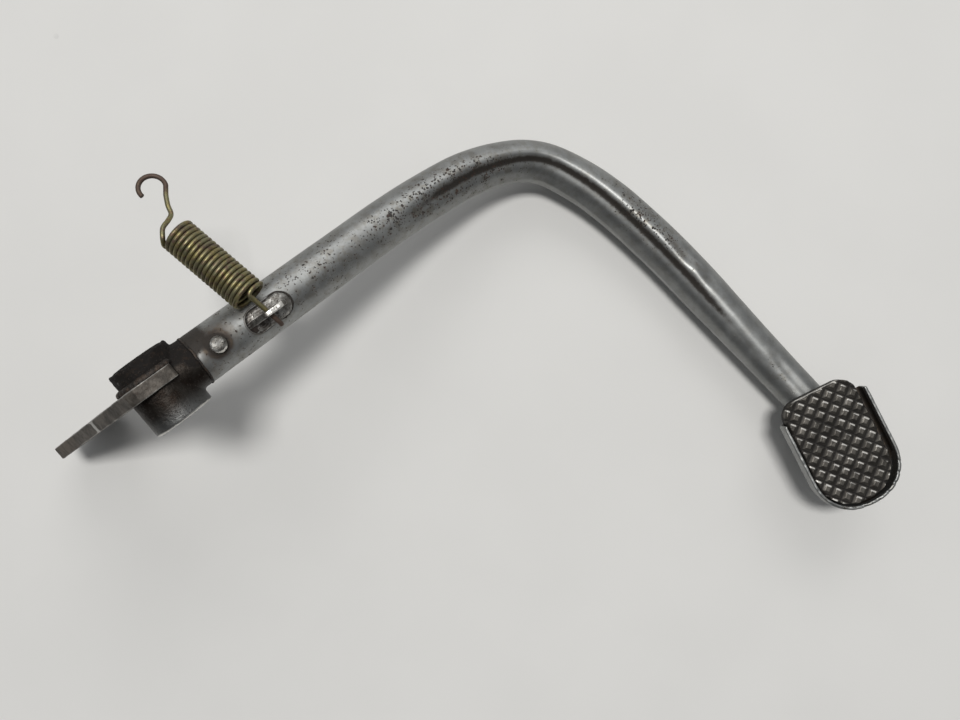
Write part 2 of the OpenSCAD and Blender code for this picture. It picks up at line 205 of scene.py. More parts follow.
class ArmLine:
    """The arm's middle line by distance from its open end, and the tube's section round it."""

    def __init__(self, arm, pad):
        self.arm, self.pad = arm, pad
        self.r = arm["tube_od"] / 2
        self.runs = [(arm["first_leg"] - arm["start"], 0.0)]
        self.runs += [(r * math.radians(a), math.radians(a) / (r * math.radians(a))) for r, a in BENDS]
        self.runs += [(arm["second_leg"], 0.0)]
        lengths = [run[0] for run in self.runs]
        self.length = sum(lengths)
        self.bend_start = lengths[0]
        self.tight = sum(lengths[:3])
        self.bend_end = sum(lengths[:-1])

    def at(self, s):
        """Along X, outwards, and heading in radians."""
        x, w, head = self.arm["start"], 0.0, 0.0
        for i, (length, rate) in enumerate(self.runs):
            step = s if i == len(self.runs) - 1 else min(s, length)
            if rate == 0:
                x, w = x + step * math.cos(head), w + step * math.sin(head)
            else:
                turned = head + rate * step
                x += (math.sin(turned) - math.sin(head)) / rate
                w -= (math.cos(turned) - math.cos(head)) / rate
                head = turned
            s -= step
            if s <= 0:
                break
        return x, w, head

    def swage(self, s):
        return smooth((s - self.bend_end + 4) / 68)

    def crease_angle(self, s):
        return (44 - 16 * smooth((s - self.bend_start) / 32) + 12 * smooth((s - self.tight - 5) / 85)
                - 7 * smooth((s - self.bend_end) / 35) - 18 * smooth((s - self.bend_end - 39) / 14))

    def crease_amount(self, s):
        return smooth((s - self.bend_start + 6) / 50) * (1 - 0.75 * self.swage(s))

    def surface(self, s, turn, inset):
        """Points of the wall at station s, for an array of turns in degrees from the top inwards."""
        arm, swage = self.arm, self.swage(s)
        narrow = arm["squeeze"] * bump(s - self.tight - 8, 26)
        half_w = (self.r - narrow) * (1 - swage) + arm["end_half_w"] * swage
        half_h = self.r * (1 - swage) + arm["end_half_h"] * swage
        twist = -self.pad["roll"] * swage
        a = np.radians(turn)
        u = (half_w - inset) * np.sin(a)
        v = (half_h - inset) * np.cos(a)
        u, v = u * math.cos(twist) + v * math.sin(twist), v * math.cos(twist) - u * math.sin(twist)
        x, w, head = self.at(s)
        flat = np.stack([x - u * math.sin(head), -w - u * math.cos(head), v], 1)
        return self.from_plane(flat)

    def from_plane(self, points):
        """From the bend's plane to the pedal's own frame."""
        t = -self.arm["tilt"]
        turn = np.array([[1, 0, 0], [0, math.cos(t), -math.sin(t)], [0, math.sin(t), math.cos(t)]])
        return points @ turn.T


# ---- Mesh helpers: points come in the pedal's millimetres ----


def wave(points, size, seed=0.0, octaves=3):
    """Smooth noise from -1 to 1 at each point; size is in millimetres."""
    shift = Vector((seed * 7.3, seed * 3.1, seed * 5.7))
    return np.array([noise.fractal(Vector(p) / size + shift, 0.9, 2.1, octaves) for p in points])


def to_row(points):
    return np.asarray(points) @ TO_ROW.T * MM


def nearest(cloud, points):
    """For each point, the number of the nearest one of the cloud."""
    tree = kdtree.KDTree(len(cloud))
    for i, p in enumerate(cloud):
        tree.insert(p, i)
    tree.balance()
    return np.array([tree.find(p)[1] for p in points])


def new_object(name, data):
    """A new object in the scene."""
    item = bpy.data.objects.new(name, data)
    bpy.context.scene.collection.objects.link(item)
    return item


def finish_piece(name, mesh, body, material, covers=(), smooth_angle=None):
    """An object from a mesh that is in the row frame, on its body and over its CAD nodes."""
    piece = new_object(name, mesh)
    mesh.materials.clear()
    mesh.materials.append(material)
    if smooth_angle is not None:
        mesh.shade_smooth()
        if smooth_angle < 180:
            mesh.set_sharp_from_angle(angle=math.radians(smooth_angle))
    if body:
        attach(piece, body)
    if covers:
        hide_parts(*covers)
    return piece


def outward_mesh(name, points, faces):
    """A mesh whose faces all look outwards."""
    mesh = bpy.data.meshes.new(name)
    mesh.from_pydata([tuple(p) for p in points], [], faces)
    shape = bmesh.new()
    shape.from_mesh(mesh)
    bmesh.ops.recalc_face_normals(shape, faces=shape.faces)
    shape.to_mesh(mesh)
    shape.free()
    return mesh


def mark(mesh, name, values):
    """A number at every vertex, for the material."""
    layer = mesh.attributes.new(name, "FLOAT", "POINT")
    layer.data.foreach_set("value", np.asarray(values, dtype=np.float32))


def tube_faces(rings, sides, base=0, wrap=False, back=False):
    """Quads over rings of points."""
    faces = []
    for i in range(rings if wrap else rings - 1):
        j = (i + 1) % rings
        for k in range(sides):
            n = (k + 1) % sides
            face = (base + i * sides + k, base + i * sides + n, base + j * sides + n, base + j * sides + k)
            faces.append(face[::-1] if back else face)
    return faces


def capped_faces(rings, sides, base=0):
    """Quads over rings of points, and a cap at each end."""
    last = base + (rings - 1) * sides
    return tube_faces(rings, sides, base) + [tuple(range(base, base + sides))[::-1],
                                             tuple(range(last, last + sides))]


def grid_faces(rows, cols):
    """Quads over a grid of points, and the numbers of the points round its rim."""
    quads = [(i * cols + j, i * cols + j + 1, (i + 1) * cols + j + 1, (i + 1) * cols + j)
             for i in range(rows - 1) for j in range(cols - 1)]
    rim = ([*range(cols)] + [i * cols + cols - 1 for i in range(1, rows)]
           + [(rows - 1) * cols + j for j in range(cols - 2, -1, -1)]
           + [i * cols for i in range(rows - 2, 0, -1)])
    return quads, rim


def pairs(loop):
    """Each item of a closed loop with the next one."""
    return zip(loop, loop[1:] + loop[:1])


def circle(count):
    """Even angles round a circle, in radians."""
    return 2 * math.pi * np.arange(count) / count


def bead_mesh(name, runs, wrap=False, place=np.array):
    """Weld beads, each a list of rings of points; wrapped ones close on themselves."""
    points, faces = [], []
    for run in runs:
        shape = (len(run), len(run[0]), len(points))
        faces += tube_faces(*shape, wrap=True) if wrap else capped_faces(*shape)
        points += [p for ring in run for p in ring]
    return outward_mesh(name, to_row(place(points)), faces)


def swept(path, radius, sides=14):
    """Points and faces of a round wire with bevelled ends along a path."""
    path = np.asarray(path, dtype=float)
    tangents = np.gradient(path, axis=0)
    tangents /= np.linalg.norm(tangents, axis=1)[:, None]
    side = np.cross(tangents[0], [0.3, 0.5, 0.8])
    side /= np.linalg.norm(side)
    points, angles = [], circle(sides)
    ends = {0: (0.6, 1.0), len(path) - 1: (1.0, 0.6)}
    for i, (p, t) in enumerate(zip(path, tangents)):
        side = side - t * side.dot(t)
        side /= np.linalg.norm(side)
        ring = np.outer(np.cos(angles), side) + np.outer(np.sin(angles), np.cross(t, side))
        points += [p + radius * grow * ring for grow in ends.get(i, (1.0,))]
    return np.concatenate(points), capped_faces(len(points), sides)


def run_through(knots, steps):
    """A smooth run through the listed points."""
    k = [np.array(p, dtype=float) for p in knots]
    out = []
    for i in range(len(k) - 1):
        a, b, c, d = k[max(0, i - 1)], k[i], k[i + 1], k[min(len(k) - 1, i + 2)]
        for j in range(steps):
            t = j / steps
            out.append(0.5 * (2 * b + (c - a) * t + (2 * a - 5 * b + 4 * c - d) * t * t
                              + (3 * b - a - 3 * c + d) * t ** 3))
    out.append(k[-1])
    return out


def corner(cx, cy, r, start, end, steps=6):
    """Points of an arc between two angles in degrees."""
    return [(cx + r * math.cos(a), cy + r * math.sin(a))
            for a in np.radians(np.linspace(start, end, steps + 1))]


class Solid:
    """A closed mesh in the pedal's millimetres, joined and cut with modifiers."""

    def __init__(self, points, faces):
        self.item = new_object("stock", outward_mesh("stock", points, faces))

    @classmethod
    def turned(cls, profile, axis, centre=(0, 0, 0), sides=96):
        """A profile of (radius, along) turned round axis 0, 1 or 2, closed with caps."""
        angles, points, order = circle(sides), [], [axis, (axis + 1) % 3, (axis + 2) % 3]
        for r, along in profile:
            ring = np.zeros((sides, 3))
            ring[:, order[0]] = along
            ring[:, order[1]] = r * np.cos(angles)
            ring[:, order[2]] = r * np.sin(angles)
            points.append(ring + np.array(centre))
        return cls(np.concatenate(points), capped_faces(len(profile), sides))

    @classmethod
    def rod(cls, radius, start, end, axis, centre=(0, 0, 0), sides=96):
        """A plain rod between two places along an axis."""
        return cls.turned([(radius, start), (radius, end)], axis, centre, sides)

    @classmethod
    def stacked(cls, outlines, place=None):
        """Outlines of equal length, each a list of (x, y) with its z, stacked and capped."""
        points = np.concatenate([np.column_stack([np.array(o), np.full(len(o), z)]) for o, z in outlines])
        if place is not None:
            points = place(points)
        return cls(points, capped_faces(len(outlines), len(outlines[0][0])))

    @classmethod
    def plate(cls, outline, middle, thick):
        """An upright plate: an outline of (x, z), thick along Y."""
        return cls.stacked([(outline, middle - thick / 2), (outline, middle + thick / 2)],
                           lambda p: np.column_stack([p[:, 0], p[:, 2], p[:, 1]]))

    def modify(self, kind, **settings):
        step = self.item.modifiers.new(kind, kind)
        for key, value in settings.items():
            setattr(step, key, value)
        graph = bpy.context.evaluated_depsgraph_get()
        mesh = bpy.data.meshes.new_from_object(self.item.evaluated_get(graph))
        self.item.modifiers.clear()
        old = self.item.data
        self.item.data = mesh
        bpy.data.meshes.remove(old)
        return self

    def combine(self, other, operation):
        self.modify("BOOLEAN", operation=operation, solver="EXACT", object=other.item)
        other.drop()
        return self

    def join(self, other):
        return self.combine(other, "UNION")

    def cut(self, other):
        return self.combine(other, "DIFFERENCE")

    def bevel(self, width):
        return self.modify("BEVEL", width=width, segments=2, limit_method="ANGLE",
                           angle_limit=math.radians(50))

    def fine(self, voxel, rounds):
        """Evenly small faces with every edge a little rounded."""
        self.modify("REMESH", mode="VOXEL", voxel_size=voxel, adaptivity=0)
        return self.modify("SMOOTH", factor=0.5, iterations=rounds)

    def drop(self):
        mesh = self.item.data
        bpy.data.objects.remove(self.item)
        bpy.data.meshes.remove(mesh)

    def arrays(self):
        """Points and normals of the vertices."""
        mesh = self.item.data
        points = np.empty(len(mesh.vertices) * 3)
        mesh.vertices.foreach_get("co", points)
        normals = np.array([v.normal[:] for v in mesh.vertices])
        return points.reshape(-1, 3), normals

    def done(self, points, name):
        """The mesh with new points, in the row frame."""
        mesh = self.item.data
        mesh.vertices.foreach_set("co", to_row(points).ravel())
        mesh.name = name
        mesh.update()
        bpy.data.objects.remove(self.item)
        return mesh


# ---- Shader graphs ----

# Colour of steel that wear keeps bright, also given to the painted highlights on the rivet, the lug and the
# tread
POLISH_AND_GLINT = (0.72, 0.7, 0.66)


class Wire:
    """One output of a shader graph; arithmetic on it adds Math nodes."""

    def __init__(self, graph, socket):
        self.graph, self.socket = graph, socket

    def maths(self, operation, other=None, swapped=False, **settings):
        values = [self] if other is None else [other, self] if swapped else [self, other]
        settings["operation"] = operation
        return self.graph.add("ShaderNodeMath", settings, *values)

    def __add__(self, other):
        return self.maths("ADD", other)

    __radd__ = __add__

    def __sub__(self, other):
        return self.maths("SUBTRACT", other)

    def __rsub__(self, other):
        return self.maths("SUBTRACT", other, swapped=True)

    def __mul__(self, other):
        return self.maths("MULTIPLY", other)

    __rmul__ = __mul__

    def above(self, low, high):
        """0 below low, 1 above high, smooth between."""
        return self.graph.add("ShaderNodeMapRange", {"interpolation_type": "SMOOTHSTEP"}, self, low, high)

    def larger(self, other):
        return self.maths("MAXIMUM", other)

    def clamp(self):
        return self.maths("MULTIPLY", 1.0, use_clamp=True)


class Finish:
    """A material on one Principled shader, with its graph."""

    def __init__(self, name, metallic=1.0, specular=0.5):
        self.material = bpy.data.materials.new(name)
        self.material.use_nodes = True
        self.tree = self.material.node_tree
        self.tree.nodes.clear()
        self.shader = self.tree.nodes.new("ShaderNodeBsdfPrincipled")
        self.shader.inputs["Metallic"].default_value = metallic
        self.shader.inputs["Specular IOR Level"].default_value = specular
        output = self.tree.nodes.new("ShaderNodeOutputMaterial")
        self.tree.links.new(self.shader.outputs[0], output.inputs[0])
        self.place = self.add("ShaderNodeTexCoord", {}, out="Object")

    def add(self, kind, settings, *values, out=0, **named):
        """A node with its settings set first, then its sockets' values or links."""
        node = self.tree.nodes.new(kind)
        for key, value in settings.items():
            setattr(node, key, value)
        for i, value in enumerate(values):
            self.put(node.inputs[i], value)
        for key, value in named.items():
            self.put(node.inputs[key.replace("_", " ")], value)
        return Wire(self, node.outputs[out])

    def put(self, socket, value):
        if isinstance(value, Wire):
            self.tree.links.new(value.socket, socket)
        elif value is not None:
            socket.default_value = value

    def set(self, name, value):
        self.put(self.shader.inputs[name], value)

    def noise(self, size, detail=3.0, rough=0.55, place=None):
        """Noise from 0 to 1; size is in millimetres."""
        return self.add("ShaderNodeTexNoise", {}, Vector=place or self.place, Scale=1 / (size * MM),
                        Detail=detail, Roughness=rough)

    def cells(self, size, place=None):
        """Distance from scattered points; size is their spacing in millimetres."""
        return self.add("ShaderNodeTexVoronoi", {}, Vector=place or self.place, Scale=1 / (size * MM))

    def mark(self, name):
        return self.add("ShaderNodeAttribute", {"attribute_name": name}, out="Fac")

    def mix(self, amount, a, b):
        """Colour a where amount is 0, and b where it is 1."""
        node = self.tree.nodes.new("ShaderNodeMix")
        node.data_type = "RGBA"
        for socket, value in zip((node.inputs[0], node.inputs[6], node.inputs[7]), (amount, a, b)):
            self.put(socket, (*value, 1) if isinstance(value, tuple) else value)
        return Wire(self, node.outputs[2])

    def made(self, base, roughness, metallic, height, depth):
        """The material, with small relief of a height from 0 to 1; depth is in millimetres."""
        self.set("Base Color", base)
        self.set("Roughness", roughness)
        self.set("Metallic", metallic)
        self.set("Normal", self.add("ShaderNodeBump", {}, Height=height, Strength=1.0,
                                    Distance=depth * MM, out="Normal"))
        return self.material


def colour(context, name, scale=1.0):
    return tuple(min(1.0, c * scale) for c in getattr(context.scene.finishes, name))


def plated_steel(context, name="plated_steel"):
    """Dull zinc plating: cloudy, finely scratched, with dark pits and rust that "pits" and "rust" place; the
    rust also stands for painted shade inside the pad's tray, and the near-black patches include a painted
    dark reflection along the arm's fold.
    """
    f = Finish(name)
    cloud, fine = f.noise(9, 4, 0.6), f.noise(0.9, 3, 0.6)
    rubbed = f.noise(2.6, 5, 0.7)
    base = f.mix(cloud.above(0.35, 0.68), colour(context, "plating", 0.86), colour(context, "plating", 1.1))
    base = f.mix(fine.above(0.45, 0.8) * 0.3, base, colour(context, "plating", 0.7))
    pits = f.mark("pits")
    # Pits gather in clusters, each with its own size and a ragged outline
    ragged = f.add("ShaderNodeTexNoise", {}, out="Color", Vector=f.place, Scale=1 / (0.9 * MM), Detail=2.0)
    bent = f.add("ShaderNodeVectorMath", {"operation": "MULTIPLY_ADD"}, ragged, (0.0013,) * 3, f.place)
    cluster, sparse = f.noise(3.4, 3, 0.65), f.noise(8, 2)
    large = f.cells(2.3, place=bent)
    small = f.cells(1.15, place=bent)
    speck = (pits * 0.46 + cluster * 0.95 - 0.74 - large).above(-0.06, 0.05)
    speck = speck.larger((pits * 0.5 + cluster * 0.6 + sparse * 0.3 - 0.62 - small).above(-0.05, 0.05))
    tone = f.noise(2.2, 2).above(0.45, 0.62)
    pit_colour = f.mix(tone, (0.012, 0.01, 0.009), colour(context, "rust", 0.5))
    tan = f.mix(cluster, (0.22, 0.205, 0.165), (0.11, 0.09, 0.065))
    base = f.mix((pits * cluster.above(0.42, 0.66) * 0.6).clamp(), base, tan)
    # Brown rust haze, which inside the pad's tray is painted shade
    rust = f.mark("rust")
    haze = (rust * (0.5 + 1.0 * rubbed)).clamp()
    brown = f.mix(rubbed.above(0.35, 0.7), colour(context, "rust", 0.3), (0.085, 0.06, 0.038))
    base = f.mix(haze.above(0.2, 0.95) * 0.88, base, brown)
    # Near black: burnt patches at the hub's rim, round the rivet and on the lug weld, and a painted dark
    # reflection along the arm's fold
    soot = (f.mark("soot") * (0.45 + 1.1 * rubbed)).above(0.2, 0.8)
    base = f.mix(soot * 0.95, base, f.mix(fine, (0.01, 0.008, 0.007), (0.035, 0.027, 0.02)))
    base = f.mix(speck * 0.93, base, pit_colour)
    return f.made(base, (0.34 + 0.12 * cloud + 0.1 * fine + 0.35 * speck + 0.12 * haze + 0.2 * soot).clamp(),
                  (1 - 0.85 * speck - 0.25 * haze - 0.4 * soot).clamp(),
                  (fine * 0.12 + rubbed * 0.1 - speck * 0.8 + 1) * 0.5, 0.35)


def burnt_steel(context, name="burnt_steel"):
    """Scorched, scaly steel where "scorch" is 1, bare and pitted where it is 0, bright on "edge": wear, and a
    painted highlight on the barrel.
    """
    f = Finish(name, specular=0.25)
    patch, scale, fine = f.noise(4.5, 5, 0.65), f.noise(1.3, 4, 0.65), f.noise(0.45, 2)
    scorch = (f.mark("scorch") + (patch - 0.5) * 0.9).above(0.3, 0.62)
    clean = f.mark("clean")
    bare = f.mix(patch.above(0.35, 0.66), (0.036, 0.032, 0.028), (0.021, 0.016, 0.013))
    bare = f.mix((clean * (0.6 + 0.6 * scale)).clamp(), bare, (0.14, 0.142, 0.14))
    burnt = f.mix(scale.above(0.5, 0.72), colour(context, "scorch"), (0.022, 0.015, 0.011))
    base = f.mix(scorch, bare, burnt)
    pits = (0.24 - f.cells(1.0) + (patch - 0.5) * 0.6).above(0, 0.07)
    base = f.mix(pits * 0.7, base, (0.025, 0.019, 0.016))
    edge = (f.mark("edge") * (0.35 + 1.1 * patch)).above(0.45, 0.8)
    base = f.mix(edge * 0.85, base, colour(context, "bare"))
    return f.made(base, (0.42 + 0.28 * scorch + 0.15 * scale - 0.22 * edge).clamp(),
                  (1 - 0.72 * scorch - 0.6 * pits + 0.6 * edge).clamp(),
                  (scale * 0.5 + fine * 0.2 - pits * 0.35 + 0.3) * 0.7, 0.5)


def dull_plate(context, name="dull_plate"):
    """Grey-brown mill plate with bare corners, a painted highlight along the end's ridge, and patchy scale.
    """
    f = Finish(name)
    patch, grain, fine = f.noise(5, 5, 0.65), f.noise(1.1, 4, 0.6), f.noise(0.4, 2)
    base = f.mix(patch.above(0.38, 0.64), colour(context, "lever", 0.6), colour(context, "lever", 1.25))
    base = f.mix(grain.above(0.52, 0.72) * 0.6, base, (0.05, 0.036, 0.028))
    edge = (f.mark("edge") * (0.3 + 1.25 * patch)).above(0.3, 0.7)
    base = f.mix(edge * 0.8, base, colour(context, "bare", 0.8))
    rough = f.mark("rust")
    base = f.mix((rough * (0.3 + patch)).above(0.3, 0.8) * 0.75, base, (0.12, 0.1, 0.08))
    return f.made(base, (0.5 + 0.2 * grain - 0.2 * edge + 0.12 * rough).clamp(),
                  (0.78 + 0.2 * edge - 0.3 * rough).clamp(),
                  grain * 0.45 + fine * 0.2 + patch * 0.3, 0.4)


def weld_metal(context, name="weld_metal"):
    """Dark weld bead, oxidised brown in places."""
    f = Finish(name)
    patch, grain = f.noise(2.5, 4, 0.6), f.noise(0.7, 3)
    base = f.mix(patch.above(0.4, 0.62), (0.018, 0.015, 0.013), (0.05, 0.036, 0.027))
    base = f.mix(grain.above(0.6, 0.75) * 0.35, base, (0.16, 0.15, 0.14))
    return f.made(base, 0.45 + 0.3 * grain,
                  0.35 + 0.4 * patch,
                  grain, 0.3)


def hammered_steel(context, name="hammered_steel"):
    """Peened steel for rivet and lug: darker faces, bright rims that are largely painted highlights, brown in
    the corners.
    """
    f = Finish(name)
    patch, grain, fine = f.noise(2.2, 4, 0.6), f.noise(0.8, 4, 0.65), f.noise(0.3, 2)
    base = f.mix(patch.above(0.4, 0.62), (0.13, 0.122, 0.11), (0.28, 0.275, 0.26))
    base = f.mix((f.mark("rust") * (0.4 + patch)).above(0.3, 0.75) * 0.92, base, (0.03, 0.02, 0.016))
    edge = (f.mark("edge") * (0.5 + 0.9 * patch)).above(0.4, 0.75)
    base = f.mix(edge, base, POLISH_AND_GLINT)
    speck = (0.26 - f.cells(0.9) + (grain - 0.5) * 0.5).above(0, 0.06)
    base = f.mix(speck * 0.8, base, (0.03, 0.024, 0.02))
    return f.made(base, (0.38 + 0.2 * grain - 0.12 * edge + 0.3 * speck).clamp(),
                  (1 - 0.6 * speck - 0.35 * f.mark("rust") + 0.3 * edge).clamp(),
                  grain * 0.6 + fine * 0.2 - speck * 0.4, 0.25)


def yellow_zinc(context, name="yellow_zinc"):
    """Yellow passivated wire: gold to olive with purple-brown tarnish, which also stands for painted shade on
    the hook under the lug.
    """
    f = Finish(name)
    patch, streak, fine = f.noise(3.2, 4, 0.6), f.noise(1.4, 3), f.noise(0.35, 2)
    base = f.mix(patch.above(0.36, 0.6), colour(context, "zinc"), (0.2, 0.19, 0.11))
    base = f.mix(streak.above(0.48, 0.68) * 0.7, base, (0.15, 0.085, 0.07))
    wear_and_painted_light = f.mark("rust")
    base = f.mix((wear_and_painted_light * (0.45 + streak)).above(0.25, 0.8) * 0.9, base, (0.075, 0.047, 0.042))
    base = f.mix(fine.above(0.6, 0.8) * 0.4, base, (0.1, 0.085, 0.06))
    return f.made(base, (0.28 + 0.18 * streak + 0.1 * fine + 0.2 * wear_and_painted_light).clamp(),
                  (1 - 0.35 * wear_and_painted_light).clamp(),
                  fine * 0.5 + streak * 0.3, 0.1)


def oily_tread(context, name="oily_tread"):
    """Tread: darker in the grooves, oily dark flanks, and bright where "edge" is 1: painted glints on the
    studs' shoulders, and along the heel.
    """
    f = Finish(name)
    patch, grain, fine = f.noise(6, 4, 0.6), f.noise(1.2, 4, 0.65), f.noise(0.3, 2)
    deep = f.mark("deep")
    steel = f.mix(patch.above(0.38, 0.62), colour(context, "tread", 1.0), colour(context, "tread", 1.9))
    steel = f.mix(grain.above(0.55, 0.75) * 0.5, steel, (0.07, 0.05, 0.04))
    base = f.mix(deep.above(0.45, 0.95), steel, (0.012, 0.01, 0.009))
    edge = (f.mark("edge") * (0.45 + 0.9 * patch)).above(0.45, 0.8)
    base = f.mix(edge, base, POLISH_AND_GLINT)
    return f.made(base, (0.34 + 0.25 * grain + 0.3 * deep - 0.04 * edge).clamp(),
                  (0.95 - 0.6 * deep.above(0.5, 1.0)).clamp(),
                  grain * 0.5 + fine * 0.2, 0.12)


def table_top(context, name="table_top"):
    """Pale matt laminate with faint specks of dust."""
    f = Finish(name, metallic=0.0, specular=0.25)
    cloud = f.noise(70, 3)
    base = f.mix(cloud.above(0.3, 0.7), colour(context, "floor", 0.985), colour(context, "floor", 1.01))
    speck = (0.05 - f.cells(26)).above(0, 0.01) * f.noise(60, 2).above(0.55, 0.65)
    base = f.mix(speck * 0.5, base, (0.3, 0.3, 0.3))
    f.set("Base Color", base)
    f.set("Roughness", 0.7)
    return f.material


# ---- The pieces ----


class Builder(bpy.types.Operator):
    """Builds a piece; the real operators say which."""

    bl_idname = "pedal.builder"
    bl_label = "Build"
    bl_options = {"REGISTER", "UNDO"}

    def execute(self, context):
        self.build(context)
        return {"FINISHED"}


def arm_line(context):
    return ArmLine(sizes(context, "arm_sizes"), sizes(context, "pad_sizes"))


def rivet_bore(hub):
    """What the rivet's shank needs, through tube and spigot."""
    return Solid.rod(hub["rivet_d"] / 2 + 0.05, -15, 15, 2, (hub["rivet_x"], 0, 0), 48)


class BuildArm(Builder):
    """The bent tube, open at both ends, with its crease, kinks and swaged end"""

    bl_idname = "pedal.build_arm"
    bl_label = "Arm tube"

    SIDES = 120
    STEP = 0.75
    # Half the angle of the flat wall under the fold, in degrees
    LEDGE = 31
    # The knock in the outer lobe lies this far before the second leg
    KINK = 9
    # Soft patches: amount, place along the arm, its spread, turn from the top, its spread.
    # The dent with a raised lip behind it, and the stains in it, are placed from the knock.
    DENTS = ((0.75, 0, 6.5, 6, 17), (0.5, 13, 4.5, -2, 15), (-0.28, 6.5, 3.5, 10, 14))
    DENT_STAINS = ((0.55, -6, 9, 8, 12), (0.5, 6, 3, -2, 10))
    STAINS = ((0.22, 30, 20, 15, 45), (0.3, 80, 22, 50, 20), (0.22, 205, 14, 5, 12))
    PITS = ((0.85, 100, 34, 15, 50), (0.55, 135, 26, 40, 50), (0.75, 213, 24, 8, 50), (0.9, 297, 5, 18, 14))

    @staticmethod
    def patches(table, s, turns, start=0.0):
        """The sum of a table of patches at station s, round the tube."""
        return sum((amount * bump(s - along, length) * bump(turns - turn, width)
                    for amount, along, length, turn, width in table), start)

    def crease(self, line, s, turns):
        """How far the press pushed the wall in: a steep fold, then a flatter ledge to the inner edge."""
        off = turns - line.crease_angle(s)
        fold = np.where(off < 0, bump(off, 15), bump(off, 20)) + 0.28 * np.exp(-np.abs(off) / 5)
        ledge = np.clip(off, 0, 2 * self.LEDGE) - self.LEDGE
        chord = 1 - math.cos(math.radians(self.LEDGE)) / np.cos(np.radians(ledge))
        flat = line.r * chord * (np.abs(ledge) < self.LEDGE - 0.1)
        ridge = 0.14 * bump(off + 24, 10)
        later = 1 - 0.5 * smooth((s - line.bend_end + 12) / 25)
        depth = line.arm["crease"] * (0.85 * fold - ridge) + 0.7 * flat
        return depth * line.crease_amount(s) * later

    def hollows(self, line, s, turns):
        """How far the wall lies under its plain section."""
        cut = self.patches(self.DENTS, s - (line.bend_end - self.KINK), turns, self.crease(line, s, turns))
        # Near the pad the outer side is pressed flat
        cut = cut + 0.55 * smooth((s - line.bend_end - 42) / 10) * bump(turns + 4, 13)
        # Shallow waves of the bending die on the inner side
        cut = cut + 0.1 * np.sin(s / 5.2) * bump(s - line.tight, 30) * bump(turns - 85, 30)
        beaten = [noise.noise(Vector((s / 9, math.cos(a) * 1.6, math.sin(a) * 1.6)))
                  for a in np.radians(turns % 360)]
        return cut + 0.07 * np.array(beaten) + 0.06

    def pitting(self, line, s, turns):
        """Where the plating has gone: along the top before the bend and after it."""
        dense = self.patches(self.PITS, s, turns) + 0.35 * (1 - smooth((s - 55) / 20))
        return np.clip(0.3 + dense - 0.05 * smooth((s - line.bend_end) / 20), 0, 1)

    def fold_dark_reflection(self, line, s, turns):
        """Painted dark reflection along the fold, broad and brown before the bend and narrow after it."""
        width = 14 - 2 * smooth((s - line.tight + 15) / 20)
        thick = 0.95 * bump(turns - line.crease_angle(s) + 3, width) * line.crease_amount(s)
        return thick * (1 - 0.75 * smooth((s - line.bend_end - 12) / 22))

    def stains(self, line, s, turns):
        """Brown stains in the dent and along the top."""
        dent = self.patches(self.DENT_STAINS, s - (line.bend_end - self.KINK), turns)
        return self.patches(self.STAINS, s, turns, dent)

    def build(self, context):
        line, hub = arm_line(context), sizes(context, "hub_sizes")
        turns = np.arange(self.SIDES) * 360 / self.SIDES
        signed = (turns + 180) % 360 - 180
        stations = np.linspace(0, line.length, int(line.length / self.STEP))
        outer, inner = [], []
        for s in stations:
            cut = self.hollows(line, s, signed)
            lips = 0.35 * (bump(s, 0.5) + bump(s - line.length, 0.5))
            outer.append(line.surface(s, turns, cut + lips))
            inner.append(line.surface(s, turns, cut * 0.9 + line.arm["wall"] - lips))
        outer = np.concatenate(outer)
        # Pits; near-black patches, with the painted dark reflection along the fold; and stains
        pits, soot, rust = (np.concatenate([layer(line, s, signed) for s in stations])
                            for layer in (self.pitting, self.fold_dark_reflection, self.stains))
        # Specks and stain round the rivet, and a scorched rim at the hub
        rivet = np.array([hub["rivet_x"], 0, line.r])
        away = np.linalg.norm(outer - rivet, axis=1) - hub["head_d"] / 2
        smear = 0.8 * np.linalg.norm(outer - rivet - [3.0, 4.2, 0], axis=1)
        rim = outer[:, 0] - line.arm["start"]
        rust = rust + 0.7 * bump(away - 0.5, 1.6) + 0.5 * bump(smear, 4.8) + 0.4 * bump(rim, 10)
        soot = soot + 0.4 * bump(rim, 0.8) + 1.5 * bump(rim, 7.5) * smooth((outer[:, 1] + 0.5) / 5)
        soot = soot + 0.8 * bump(away - 0.3, 0.8)
        rings, total = len(stations), len(outer)
        faces = tube_faces(rings, self.SIDES) + tube_faces(rings, self.SIDES, total, back=True)
        last = (rings - 1) * self.SIDES
        for k, n in pairs([*range(self.SIDES)]):
            faces.append((k, total + k, total + n, n))
            faces.append((last + k, last + n, total + last + n, total + last + k))
        stock = Solid(np.concatenate([outer] + inner), faces)
        stock.cut(rivet_bore(hub))
        points, _ = stock.arrays()
        mesh = stock.done(points, "arm_tube_skin")
        near = nearest(outer, points)
        mark(mesh, "pits", pits[near])
        mark(mesh, "rust", np.clip(rust, 0, 1)[near])
        mark(mesh, "soot", np.clip(soot, 0, 1)[near])
        finish_piece("arm_tube_skin", mesh, "pedal", plated_steel(context), ["arm_tube"], 40)


def barrel_radius(context):
    return BORE["dims"]["r_mm"] + sizes(context, "hub_sizes")["wall"]


